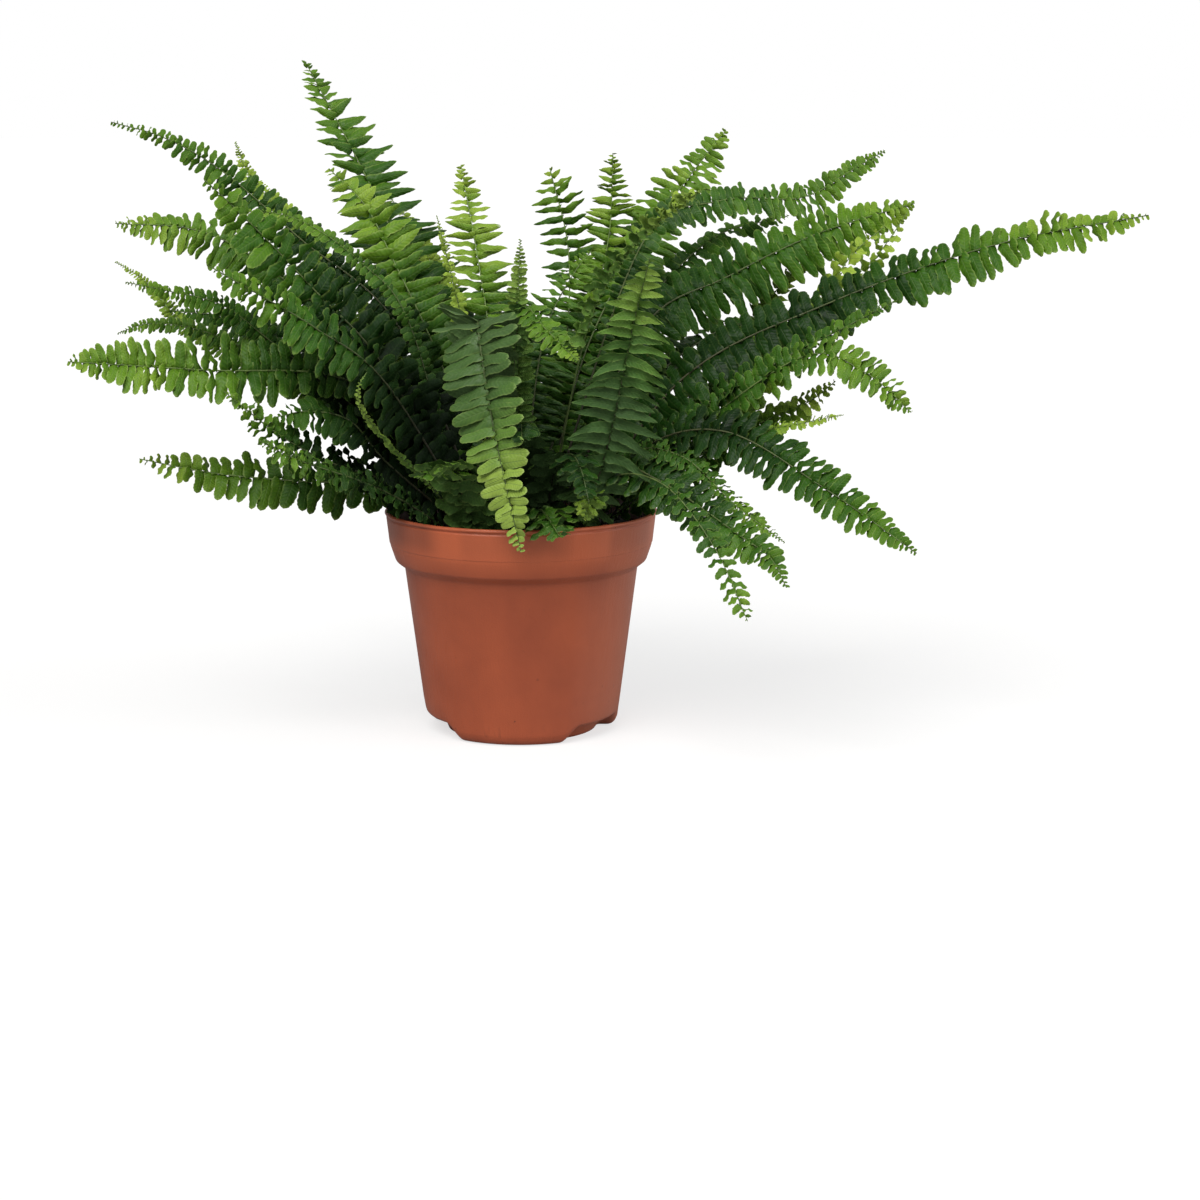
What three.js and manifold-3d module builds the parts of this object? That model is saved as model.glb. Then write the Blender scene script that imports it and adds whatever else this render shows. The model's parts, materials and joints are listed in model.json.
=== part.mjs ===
// Potted Boston fern: a plastic nursery pot, the soil in it, and fifty-odd arching fronds.
// Millimetres, +Z up. The origin is the middle of the pot's base, on the surface it stands on.
// +X is right and +Y is back for a viewer who stands in front of the plant.

import * as THREE from 'three';
import { mergeVertices } from 'three/addons/utils/BufferGeometryUtils.js';
import Module from 'manifold-3d';

const wasm = await Module();
wasm.setup();

// Pot
const POT_HEIGHT = 114;
const RIM_RADIUS = 70;
const RIM_LIP = 1.6;
const COLLAR_TOP_RADIUS = 69.2;
const COLLAR_FOOT_RADIUS = 67.3;
const COLLAR_FOOT = 96;
const COLLAR_UNDER = 85;
const COLLAR_TURN_OUT = 4.6;
const COLLAR_TURN_RISE = 4;
const NECK_RADIUS = 60;
const FOOT_RADIUS = 50;
const FOOT_CORNER_WIDTH = 5;
const FOOT_CORNER_HEIGHT = 8;
const POT_WALL = 2;
const POT_FLOOR = 2;
const POT_SIDES = 40;

// Three raised notches round the pot's foot, each with a drainage slot in its roof
const NOTCHES = [-31, 84, 199];
const NOTCH_WIDTH = 58;
const NOTCH_DEPTH = 9;
const NOTCH_HEIGHT = 7.4;
const NOTCH_SLOPE = 12;
const SLOT_LENGTH = 12;
const SLOT_WIDTH = 3;

// Soil
const SOIL_TOP = 105;
const SOIL_CROWN = 2;
const SOIL_EDGE_DROP = 1;
const SOIL_EDGE_WIDTH = 8;
const FIT_GAP = 0.3;
const HOLE_DEPTH = 9;
const HOLE_GAP = 0.35;
const HOLE_FLOOR_GAP = 1;

// Stipe and rib of a frond
const STIPE_WIDTH = 2.4;
const STIPE_THICKNESS = 2.2;
const STIPE_STEPS = 2;
const STIPE_BEND_HEIGHT = 3;
const RIB_END_SCALE = 0.5;
const TIP_LENGTH = 5;

// Leaflets: where they start, how they are spaced, and how long they are along the blade
const BARE_SHARE = 0.14;
const LEAFLET_PITCH = 12;
const LEAFLETS_LEAST = 6;
const LEAFLETS_MOST = 22;
const SPACING_POWER = 0.94;
const FIRST_LEAFLET_LENGTH = 0.5;
const FULL_LENGTH_AT = 0.3;
const LAST_LEAFLET_LENGTH = 0.12;
const TAPER_POWER = 4.5;
const TAPER_BLUNTNESS = 0.8;

// Outline of a leaflet, as shares of its length and of its half width, and its slant in degrees
const LEAFLET_FULLNESS = 0.78;
const SHOULDER_SHARE = 0.72;
const POINT_FORWARD = 0.3;
const FIRST_SWEEP = 2;
const LAST_SWEEP = 14;
const SWEEP_POWER = 2.5;
const YOUNG_FOLD = 12;

// Clear space between one frond and another
const BLADE_CLEARANCE = 1.1;
const RIB_CLEARANCE = 1.9;
const POT_CLEARANCE = 1.2;
const POT_TEST_STEPS = 4;
const CLEAR_FOLDS = [0, 14, -14, 28, -28, 42, -42];
const CLEAR_LENGTHS = [1, 0.75, 0.5];

// Colours and roughness
const POT_COLOUR = 0x9c5238;
const POT_ROUGHNESS = 0.5;
const SOIL_COLOUR = 0x1d1815;
const SOIL_ROUGHNESS = 0.95;
const LEAF_ROUGHNESS = 0.45;
const OLD_LEAF = new THREE.Color(0x24491f);
const YOUNG_LEAF = new THREE.Color(0x9ab846);

// Every frond by hand, in degrees and millimetres. bearing is the way it grows, counted from the right
// towards the back, and root its distance from the pot's axis at the soil. leaflet is its longest leaflet,
// roll the turn of the blade about its rib, and young runs from 0 (old) to 1 (new). rib gives the distance
// out and the height of points from low on the frond to its tip. Where they are given, sway is how far
// the tip swings to the left of the bearing, fold how far both sides of the blade are folded up, bare the
// share of the rib without leaflets, first the length of the lowest ones as a share of the longest, full
// the share of the blade after which they have their whole length, and taper how blunt its outline is.
const FRONDS = [
  { name: 'frond_left_01', bearing: 165, root: 20, leaflet: 16, roll: -62, young: 0.15,
    rib: [[65, 206], [118, 250], [160, 284], [192, 301], [222, 309]], taper: 2.8 },
  { name: 'frond_left_02', bearing: 150, root: 25, leaflet: 8, roll: -40, young: 0.7,
    rib: [[82, 190], [111, 222], [140, 256], [167, 278], [178, 298]], taper: 8 },
  { name: 'frond_left_03', bearing: 200, root: 26, leaflet: 23, roll: -70, young: 0.12,
    rib: [[72, 190], [106, 228], [139, 263], [160, 283]], taper: 5 },
  { name: 'frond_left_04', bearing: 178, root: 30, leaflet: 7, roll: -35, young: 0.4,
    rib: [[56, 208], [81, 240], [114, 262], [149, 266]], taper: 6 },
  { name: 'frond_left_05', bearing: 188, root: 35, leaflet: 17, roll: -58, young: 0.24,
    rib: [[78, 193], [126, 238], [160, 257], [201, 261]], fold: -8, taper: 7 },
  { name: 'frond_left_06', bearing: 170, root: 42, leaflet: 8, roll: -50, young: 0.6,
    rib: [[75, 153], [120, 175], [148, 189], [180, 208], [196, 226], [214, 238]] },
  { name: 'frond_left_07', bearing: 192, root: 42, leaflet: 10, roll: -50, young: 0.1,
    rib: [[80, 163], [127, 203], [150, 221], [175, 228], [197, 233]], taper: 5 },
  { name: 'frond_left_08', bearing: 183, root: 40, leaflet: 8, roll: -48, young: 0.3,
    rib: [[90, 167], [130, 192], [160, 206], [186, 210], [203, 205]], taper: 7 },
  { name: 'frond_left_09', bearing: 196, root: 37, leaflet: 18, roll: -62, young: 0.42,
    rib: [[58, 150], [92, 184], [160, 190], [227, 196]], fold: 16, full: 0.6, taper: 9 },
  { name: 'frond_left_10', bearing: 208, root: 27, leaflet: 19, roll: -58, young: 0.2,
    rib: [[75, 183], [111, 211], [141, 229], [165, 243]], taper: 5 },
  { name: 'frond_left_11', bearing: 173, root: 36, leaflet: 14, roll: -52, young: 0.05,
    rib: [[85, 172], [140, 207], [182, 214]] },
  { name: 'frond_left_12', bearing: 187, root: 46, leaflet: 16, roll: -62, young: 0.5,
    rib: [[66, 127], [110, 130], [155, 135], [193, 143]], fold: 4, first: 0.9, taper: 4 },
  { name: 'frond_left_13', bearing: 205, root: 42, leaflet: 13, roll: -60, young: 0.15,
    rib: [[70, 131], [103, 144], [129, 159], [157, 182]] },
  { name: 'frond_left_14', bearing: 214, root: 46, leaflet: 10, roll: -50, young: 0.35,
    rib: [[70, 124], [94, 136], [128, 149], [149, 160]], taper: 8 },
  { name: 'frond_middle_01', bearing: 130, root: 14, leaflet: 30, roll: -5, young: 0.3,
    rib: [[68, 191], [105, 244], [140, 287], [189, 340]], fold: 15, taper: 3.6 },
  { name: 'frond_middle_02', bearing: 150, root: 15, leaflet: 24, roll: -42, young: 0.48,
    rib: [[49, 188], [78, 240], [94, 266], [117, 285]], taper: 5 },
  { name: 'frond_middle_03', bearing: 120, root: 18, leaflet: 8, roll: -20, young: 0.8,
    rib: [[60, 189], [112, 245], [148, 266]] },
  { name: 'frond_middle_04', bearing: 111, root: 8, leaflet: 22, roll: 0, young: 0.6,
    rib: [[40, 181], [62, 229], [94, 286]], fold: 14, taper: 4 },
  { name: 'frond_middle_05', bearing: 148, root: 7, leaflet: 8, roll: 0, young: 0.8,
    rib: [[25, 172], [38, 217], [51, 262]] },
  { name: 'frond_middle_06', bearing: 268, root: 10, leaflet: 9, roll: 0, young: 0.6,
    rib: [[26, 175], [37, 218], [42, 254]], sway: 3 },
  { name: 'frond_middle_07', bearing: 57, root: 18, leaflet: 17, roll: 10, young: 0.52,
    rib: [[45, 188], [62, 241], [66, 285]], sway: 26, bare: 0.7, first: 0.9, taper: 5 },
  { name: 'frond_middle_08', bearing: 52, root: 8, leaflet: 20, roll: 16, young: 0.5,
    rib: [[44, 183], [72, 244], [77, 293]], taper: 6 },
  { name: 'frond_middle_09', bearing: 50, root: 1, leaflet: 18, roll: 25, young: 0.3,
    rib: [[12, 178], [23, 210], [43, 233], [56, 243]], fold: 10, taper: 6 },
  { name: 'frond_middle_10', bearing: 262, root: 19, leaflet: 9, roll: 0, young: 0.5,
    rib: [[34, 190], [50, 221], [68, 213], [84, 199]], sway: 42, bare: 0.55, taper: 6 },
  { name: 'frond_middle_11', bearing: 305, root: 42, leaflet: 23, roll: -28, young: 0.2,
    rib: [[70, 140], [88, 184], [99, 217], [112, 248]], taper: 4.5 },
  { name: 'frond_middle_12', bearing: 236, root: 22, leaflet: 23, roll: 0, young: 0.32,
    rib: [[35, 180], [45, 210], [60, 211], [68, 168], [70, 106]],
    sway: 50, fold: 10, bare: 0.3, first: 0.9, taper: 3.8 },
  { name: 'frond_middle_13', bearing: 308, root: 50, leaflet: 9, roll: 0, young: 0.6,
    rib: [[62, 122], [72, 129], [84, 121]], sway: -24 },
  { name: 'frond_middle_14', bearing: 279, root: 44, leaflet: 16, roll: 0, young: 0.38,
    rib: [[60, 122], [70, 121], [83, 113]], sway: 8, taper: 8 },
  { name: 'frond_middle_15', bearing: 222, root: 36, leaflet: 4, roll: 0, young: 0.75,
    rib: [[60, 132], [86, 156], [101, 173], [103, 184], [98, 191]], bare: 0.3 },
  { name: 'frond_middle_16', bearing: 238, root: 40, leaflet: 18, roll: 0, young: 0.5,
    rib: [[59, 137], [72, 143], [90, 141]], first: 0.9 },
  { name: 'frond_right_01', bearing: 355, root: 30, leaflet: 18, roll: 50, young: 0.15,
    rib: [[83, 182], [155, 220], [238, 250], [313, 265]], fold: 2, taper: 7 },
  { name: 'frond_right_02', bearing: 20, root: 14, leaflet: 13, roll: 54, young: 0.3,
    rib: [[65, 246], [108, 269], [155, 270], [182, 283], [203, 294]],
    fold: 2, first: 0.2, full: 0.9, taper: 8 },
  { name: 'frond_right_03', bearing: 10, root: 22, leaflet: 20, roll: 56, young: 0.2,
    rib: [[62, 204], [109, 232], [155, 253], [206, 268]], fold: -12, taper: 9 },
  { name: 'frond_right_04', bearing: 5, root: 38, leaflet: 12, roll: 40, young: 0.55,
    rib: [[95, 176], [144, 208], [170, 226], [188, 249], [198, 264]], taper: 7 },
  { name: 'frond_right_05', bearing: 0, root: 44, leaflet: 14, roll: 40, young: 0.65,
    rib: [[95, 159], [143, 201], [165, 240], [184, 258]], taper: 6 },
  { name: 'frond_right_06', bearing: 14, root: 36, leaflet: 14, roll: 35, young: 0.5,
    rib: [[80, 160], [120, 203], [143, 231], [163, 241]] },
  { name: 'frond_right_07', bearing: 345, root: 34, leaflet: 15, roll: 30, young: 0.25,
    rib: [[80, 158], [130, 191], [165, 210], [193, 225]], fold: 18 },
  { name: 'frond_right_08', bearing: 340, root: 36, leaflet: 14, roll: 50, young: 0.38,
    rib: [[85, 152], [148, 197], [180, 191], [204, 172]], fold: 15, taper: 9 },
  { name: 'frond_right_09', bearing: 336, root: 44, leaflet: 5, roll: 30, young: 0.6,
    rib: [[90, 140], [131, 160], [157, 167], [174, 171]], taper: 12 },
  { name: 'frond_right_10', bearing: 349, root: 44, leaflet: 15, roll: 50, young: 0.4,
    rib: [[93, 144], [121, 160], [147, 172], [161, 183]] },
  { name: 'frond_right_11', bearing: 331, root: 40, leaflet: 17, roll: 48, young: 0.12,
    rib: [[72, 150], [117, 161], [170, 137], [219, 109]], fold: 12 },
  { name: 'frond_right_12', bearing: 317, root: 38, leaflet: 15, roll: 42, young: 0.25,
    rib: [[60, 142], [95, 138], [146, 117], [166, 108], [176, 95]],
    fold: 14, bare: 0.2, first: 0.8, taper: 4 },
  { name: 'frond_right_13', bearing: 324, root: 44, leaflet: 9, roll: 34, young: 0.4,
    rib: [[68, 147], [100, 149], [131, 128], [160, 112]] },
  { name: 'frond_right_14', bearing: 311, root: 46, leaflet: 8, roll: 30, young: 0.42,
    rib: [[72, 138], [110, 138], [145, 112], [168, 80]], bare: 0.5, first: 0.8, taper: 9 },
  { name: 'frond_right_15', bearing: 43, root: 15, leaflet: 22, roll: 30, young: 0.4,
    rib: [[45, 191], [87, 249], [117, 277], [148, 304]], taper: 6 },
  { name: 'frond_right_16', bearing: 340, root: 14, leaflet: 15, roll: 10, young: 0.65,
    rib: [[35, 203], [52, 238], [75, 262], [96, 277]], fold: 32, bare: 0.5, first: 0.9, taper: 12 },
  { name: 'frond_right_17', bearing: 55, root: 27, leaflet: 16, roll: 15, young: 0.05,
    rib: [[60, 199], [95, 244], [125, 265]] },
  { name: 'frond_right_18', bearing: 27, root: 22, leaflet: 16, roll: 25, young: 0.2,
    rib: [[60, 198], [108, 247], [158, 260]] },
  { name: 'frond_front_01', bearing: 246, root: 38, leaflet: 17, roll: 10, young: 0.46,
    rib: [[54, 134], [70, 146], [92, 146]], first: 0.9 },
  { name: 'frond_front_02', bearing: 272, root: 30, leaflet: 16, roll: 0, young: 0.08,
    rib: [[48, 150], [70, 166], [90, 160]] },
  { name: 'frond_front_03', bearing: 292, root: 32, leaflet: 15, roll: 0, young: 0.1,
    rib: [[50, 142], [70, 151], [84, 145], [94, 131]] },
  { name: 'frond_front_04', bearing: 205, root: 34, leaflet: 17, roll: -45, young: 0.15,
    rib: [[73, 142], [92, 164], [113, 170], [131, 168]] },
  { name: 'frond_back_01', bearing: 86, root: 40, leaflet: 18, roll: 0, young: 0.2,
    rib: [[80, 168], [140, 196], [205, 176]] },
  { name: 'frond_back_02', bearing: 98, root: 24, leaflet: 18, roll: 0, young: 0.3,
    rib: [[65, 188], [120, 214], [190, 204]] },
  { name: 'frond_back_03', bearing: 118, root: 40, leaflet: 17, roll: 0, young: 0.15,
    rib: [[80, 163], [135, 180], [185, 150]] },
  { name: 'frond_back_04', bearing: 122, root: 30, leaflet: 22, roll: -10, young: 0.1,
    rib: [[75, 190], [125, 232], [172, 262]], taper: 6 },
  { name: 'frond_back_05', bearing: 152, root: 42, leaflet: 16, roll: -20, young: 0.25,
    rib: [[75, 158], [120, 178], [165, 176]] },
  { name: 'frond_back_06', bearing: 38, root: 36, leaflet: 18, roll: 25, young: 0.2,
    rib: [[78, 166], [113, 190], [148, 201], [190, 196]] },
];

const UP = new THREE.Vector3(0, 0, 1);
const EIGHTH_TURN = 1 - Math.SQRT1_2;

// A closed mesh as a solid that can be cut and joined
function solidOf(geometry) {
  const bare = geometry.clone();
  bare.deleteAttribute('normal');
  bare.deleteAttribute('uv');
  const merged = mergeVertices(bare, 1e-4);
  const vertProperties = new Float32Array(merged.attributes.position.array);
  const triVerts = new Uint32Array(merged.index.array);
  return new wasm.Manifold(new wasm.Mesh({ numProp: 3, vertProperties, triVerts }));
}

function geometryOf(solid) {
  const mesh = solid.getMesh();
  const geometry = new THREE.BufferGeometry();
  geometry.setAttribute('position', new THREE.BufferAttribute(mesh.vertProperties, 3));
  geometry.setIndex(new THREE.BufferAttribute(mesh.triVerts, 1));
  return geometry;
}

// A profile of [radius, height] corners turned about the pot's upright axis
function turned(corners) {
  const profile = corners.map(([radius, height]) => new THREE.Vector2(radius, height));
  return new THREE.LatheGeometry(profile, POT_SIDES).rotateX(Math.PI / 2);
}

// Radius of the inside of the pot's wall at a height
function innerRadius(height) {
  const [low, high, lowRadius, highRadius] = height > COLLAR_UNDER
    ? [COLLAR_UNDER, POT_HEIGHT, NECK_RADIUS, RIM_RADIUS]
    : [FOOT_CORNER_HEIGHT, COLLAR_UNDER, FOOT_RADIUS, NECK_RADIUS];
  return THREE.MathUtils.mapLinear(height, low, high, lowRadius, highRadius) - POT_WALL;
}

// The room of one notch in the pot's foot, a low bridge shape with sloped ends, or of the shell round it
// when it is grown. Its inner end lies at the notch's depth, and it reaches out past the pot's wall and
// down past its base.
function notchRoom(bearing, grown) {
  const half = NOTCH_WIDTH / 2 + grown;
  const top = NOTCH_HEIGHT + grown;
  const outline = new THREE.Shape();
  outline.moveTo(-half, -POT_FLOOR);
  outline.lineTo(half, -POT_FLOOR);
  outline.lineTo(half, 0);
  outline.lineTo(half - NOTCH_SLOPE, top);
  outline.lineTo(-half + NOTCH_SLOPE, top);
  outline.lineTo(-half, 0);
  outline.closePath();
  const depth = 2 * NOTCH_DEPTH + grown;
  const room = new THREE.ExtrudeGeometry(outline, { depth, bevelEnabled: false, steps: 1 });
  room.rotateX(Math.PI / 2);
  room.rotateZ(Math.PI / 2);
  room.translate(FOOT_RADIUS - NOTCH_DEPTH - grown, 0, 0);
  room.rotateZ(THREE.MathUtils.degToRad(bearing));
  return solidOf(room);
}

function drainageSlot(bearing) {
  const slot = new THREE.BoxGeometry(SLOT_WIDTH, SLOT_LENGTH, 3 * POT_WALL);
  slot.translate(FOOT_RADIUS - NOTCH_DEPTH / 2 - POT_WALL, 0, NOTCH_HEIGHT + POT_WALL / 2);
  slot.rotateZ(THREE.MathUtils.degToRad(bearing));
  return solidOf(slot);
}

// The room inside the pot up to a height, held clear of the wall and floor by a gap
function potRoom(top, gap) {
  return solidOf(turned([
    [0, POT_FLOOR + gap],
    [innerRadius(POT_FLOOR) - FOOT_CORNER_WIDTH - gap, POT_FLOOR + gap],
    [innerRadius(FOOT_CORNER_HEIGHT) - gap, FOOT_CORNER_HEIGHT + gap],
    [innerRadius(COLLAR_UNDER) - gap, COLLAR_UNDER],
    ...top,
  ]));
}

function makePot() {
  const outside = solidOf(turned([
    [0, 0],
    [FOOT_RADIUS - FOOT_CORNER_WIDTH, 0],
    [FOOT_RADIUS - FOOT_CORNER_WIDTH * EIGHTH_TURN, FOOT_CORNER_HEIGHT * EIGHTH_TURN],
    [FOOT_RADIUS, FOOT_CORNER_HEIGHT],
    [NECK_RADIUS, COLLAR_UNDER],
    [NECK_RADIUS + COLLAR_TURN_OUT, COLLAR_UNDER + COLLAR_TURN_RISE],
    [COLLAR_FOOT_RADIUS, COLLAR_FOOT],
    [COLLAR_TOP_RADIUS, POT_HEIGHT - RIM_LIP],
    [RIM_RADIUS, POT_HEIGHT - RIM_LIP],
    [RIM_RADIUS, POT_HEIGHT],
    [0, POT_HEIGHT],
  ]));
  const mouth = POT_HEIGHT + POT_WALL;
  let pot = outside.subtract(potRoom([[innerRadius(mouth), mouth], [0, mouth]], 0));
  for (const bearing of NOTCHES) {
    pot = pot.add(notchRoom(bearing, POT_WALL).intersect(outside));
  }
  for (const bearing of NOTCHES) {
    pot = pot.subtract(notchRoom(bearing, 0)).subtract(drainageSlot(bearing));
  }
  return geometryOf(pot);
}

// The soil fills the pot, and each stipe stands in a plain square hole in it
function makeSoil(fronds) {
  const edgeHeight = SOIL_TOP - SOIL_EDGE_DROP;
  const edge = innerRadius(edgeHeight) - FIT_GAP;
  const top = [[edge, edgeHeight], [edge - SOIL_EDGE_WIDTH, SOIL_TOP], [0, SOIL_TOP + SOIL_CROWN]];
  let soil = potRoom(top, FIT_GAP);
  for (const bearing of NOTCHES) {
    soil = soil.subtract(notchRoom(bearing, POT_WALL + FIT_GAP));
  }
  const width = STIPE_WIDTH + 2 * HOLE_GAP;
  const thickness = STIPE_THICKNESS + 2 * HOLE_GAP;
  for (const frond of fronds) {
    const hole = new THREE.BoxGeometry(thickness, width, 2 * HOLE_DEPTH);
    hole.rotateZ(frond.angle);
    hole.translate(frond.foot.x, frond.foot.y, SOIL_TOP);
    soil = soil.subtract(solidOf(hole));
  }
  return geometryOf(soil);
}

// Rib line of a frond, from the soil to its tip
function ribCurve(row) {
  const angle = THREE.MathUtils.degToRad(row.bearing);
  const out = new THREE.Vector3(Math.cos(angle), Math.sin(angle), 0);
  const across = new THREE.Vector3(-out.y, out.x, 0);
  const stops = [[row.root, SOIL_TOP + STIPE_BEND_HEIGHT], ...row.rib];
  const points = stops.map(([reach, height], k) => {
    const swing = (row.sway ?? 0) * (k / (stops.length - 1)) ** 2;
    return out.clone().multiplyScalar(reach).addScaledVector(across, swing).setZ(height);
  });
  const curve = new THREE.CatmullRomCurve3(points, false, 'catmullrom', 0.5);
  return { curve, across, angle, foot: points[0] };
}

// Share of the longest leaflet at a place along the blade, 0 at its first leaflet and 1 at the tip
function taper(row, along) {
  const grown = THREE.MathUtils.smoothstep(along, 0, row.full ?? FULL_LENGTH_AT);
  const rise = THREE.MathUtils.lerp(row.first ?? FIRST_LEAFLET_LENGTH, 1, grown);
  const fall = (1 - along ** (row.taper ?? TAPER_POWER)) ** TAPER_BLUNTNESS;
  return rise * Math.max(LAST_LEAFLET_LENGTH, fall);
}

// Everything that is known of a frond before its leaflets are set clear of the others
function layOut(row) {
  const { curve, across, angle, foot } = ribCurve(row);
  const length = curve.getLength();
  const bare = row.bare ?? BARE_SHARE;
  const blade = length * (1 - bare);
  const count = THREE.MathUtils.clamp(Math.round(blade / LEAFLET_PITCH), LEAFLETS_LEAST, LEAFLETS_MOST);
  const shares = [];
  for (let k = 0; k < STIPE_STEPS; k += 1) {
    shares.push((bare * k) / STIPE_STEPS);
  }
  for (let k = 0; k <= count; k += 1) {
    shares.push(bare + (1 - bare) * (k / count) ** SPACING_POWER);
  }
  const roll = THREE.MathUtils.degToRad(row.roll);
  const stations = shares.map((share) => {
    const at = curve.getPointAt(share);
    const along = curve.getTangentAt(share);
    const side = across.clone().addScaledVector(along, -across.dot(along)).normalize();
    const face = along.clone().cross(side);
    const turn = roll * THREE.MathUtils.smoothstep(share, 0, BARE_SHARE);
    side.applyAxisAngle(along, turn);
    face.applyAxisAngle(along, turn);
    const scale = THREE.MathUtils.lerp(1, RIB_END_SCALE, share);
    return { at, along, side, face, scale };
  });
  const bottom = {
    at: foot.clone().setZ(SOIL_TOP - HOLE_DEPTH + HOLE_FLOOR_GAP),
    along: UP.clone(),
    side: across.clone(),
    face: UP.clone().cross(across),
    scale: 1,
  };
  return { row, angle, foot, count, stations: [bottom, ...stations] };
}

// The four corners of the rib at a station: face side, left, back side, right
function ribCorners({ at, side, face, scale }) {
  const wide = (STIPE_WIDTH / 2) * scale;
  const thick = (STIPE_THICKNESS / 2) * scale;
  return {
    top: at.clone().addScaledVector(face, thick),
    left: at.clone().addScaledVector(side, wide),
    back: at.clone().addScaledVector(face, -thick),
    right: at.clone().addScaledVector(side, -wide),
  };
}

// Outline of one leaflet between two stations, on the side given by hand (1 left, -1 right)
function leafletShape(frond, k, hand, extraFold, lengthShare) {
  const { row, count, stations } = frond;
  const first = stations.length - 1 - count;
  const low = stations[k];
  const high = stations[k + 1];
  const along = (k - first + 0.5) / count;
  const length = row.leaflet * taper(row, along) * lengthShare;
  const rib = low.along.clone().add(high.along).normalize();
  const side = low.side.clone().add(high.side).normalize().multiplyScalar(hand);
  const face = low.face.clone().add(high.face).normalize();
  const usualFold = row.fold ?? YOUNG_FOLD * row.young;
  const fold = THREE.MathUtils.degToRad(usualFold + extraFold);
  const swept = THREE.MathUtils.lerp(FIRST_SWEEP, LAST_SWEEP, along ** SWEEP_POWER);
  const sweep = THREE.MathUtils.degToRad(swept);
  const reach = side.multiplyScalar(Math.cos(fold)).addScaledVector(face, Math.sin(fold));
  reach.multiplyScalar(Math.cos(sweep)).addScaledVector(rib, Math.sin(sweep));
  const cornerName = hand > 0 ? 'left' : 'right';
  const base = ribCorners(low)[cornerName];
  const end = ribCorners(high)[cornerName];
  const middle = base.clone().lerp(end, 0.5);
  const half = (base.distanceTo(end) / 2) * LEAFLET_FULLNESS;
  const shoulder = middle.clone().addScaledVector(reach, length * SHOULDER_SHARE).addScaledVector(rib, -half);
  const tip = middle.clone().addScaledVector(reach, length).addScaledVector(rib, half * POINT_FORWARD);
  return { base, end, shoulder, tip };
}

// Two flat triangles that stand for a leaflet when the clear space round it is measured
function leafletFlats({ base, end, shoulder, tip }) {
  return [new THREE.Triangle(base, shoulder, tip), new THREE.Triangle(base, tip, end)];
}

function edgesOf(triangle) {
  return [
    new THREE.Line3(triangle.a, triangle.b),
    new THREE.Line3(triangle.b, triangle.c),
    new THREE.Line3(triangle.c, triangle.a),
  ];
}

function cornersOf(triangle) {
  return [triangle.a, triangle.b, triangle.c];
}

// Whether an edge goes through a triangle
function pierces(edge, triangle) {
  const way = edge.delta(new THREE.Vector3());
  const length = way.length();
  const ray = new THREE.Ray(edge.start, way.divideScalar(length));
  const hit = ray.intersectTriangle(triangle.a, triangle.b, triangle.c, false, new THREE.Vector3());
  return hit !== null && hit.distanceTo(edge.start) <= length;
}

// Whether an edge comes nearer to a triangle than the clearance
function edgeNear(edge, triangle, clearance) {
  if (pierces(edge, triangle)) {
    return true;
  }
  const least = clearance ** 2;
  const near = new THREE.Vector3();
  for (const end of [edge.start, edge.end]) {
    if (triangle.closestPointToPoint(end, near).distanceToSquared(end) < least) {
      return true;
    }
  }
  return edgesOf(triangle).some((other) => edge.distanceSqToLine3(other) < least);
}

function trianglesNear(one, other, clearance) {
  const least = clearance ** 2;
  const near = new THREE.Vector3();
  for (const corner of cornersOf(other)) {
    if (one.closestPointToPoint(corner, near).distanceToSquared(corner) < least) {
      return true;
    }
  }
  return edgesOf(one).some((edge) => edgeNear(edge, other, clearance))
    || edgesOf(other).some((edge) => pierces(edge, one));
}

// Whether any part of a leaflet would touch the pot or lie in its mouth
function meetsPot(flats) {
  const point = new THREE.Vector3();
  for (const flat of flats) {
    for (let u = 0; u <= POT_TEST_STEPS; u += 1) {
      for (let v = 0; v <= POT_TEST_STEPS - u; v += 1) {
        point.copy(flat.a).multiplyScalar((POT_TEST_STEPS - u - v) / POT_TEST_STEPS);
        point.addScaledVector(flat.b, u / POT_TEST_STEPS).addScaledVector(flat.c, v / POT_TEST_STEPS);
        const radius = Math.hypot(point.x, point.y);
        if (radius < RIM_RADIUS + POT_CLEARANCE && point.z < POT_HEIGHT + POT_CLEARANCE) {
          return true;
        }
      }
    }
  }
  return false;
}

function boxRound(flats) {
  return new THREE.Box3().setFromPoints(flats.flatMap(cornersOf));
}

// All that takes up space already: the ribs, and the leaflets set so far. Each has a box round it, so
// that only near ones are measured.
class Crowd {
  constructor() {
    this.things = [];
  }

  addRib(owner, place, edge) {
    const box = new THREE.Box3().setFromPoints([edge.start, edge.end]).expandByScalar(RIB_CLEARANCE);
    this.things.push({ owner, place, box, meets: (flat) => edgeNear(edge, flat, RIB_CLEARANCE) });
  }

  addLeaflet(owner, place, flats) {
    const box = boxRound(flats).expandByScalar(BLADE_CLEARANCE);
    const meets = (flat) => flats.some((other) => trianglesNear(flat, other, BLADE_CLEARANCE));
    this.things.push({ owner, place, box, meets });
  }

  // Whether a new leaflet comes too near anything but the parts of its own frond next to it
  blocks(owner, place, flats) {
    const box = boxRound(flats);
    return this.things.some((thing) => {
      const joined = thing.owner === owner && Math.abs(thing.place - place) <= 1;
      return !joined && thing.box.intersectsBox(box) && flats.some(thing.meets);
    });
  }
}

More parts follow.
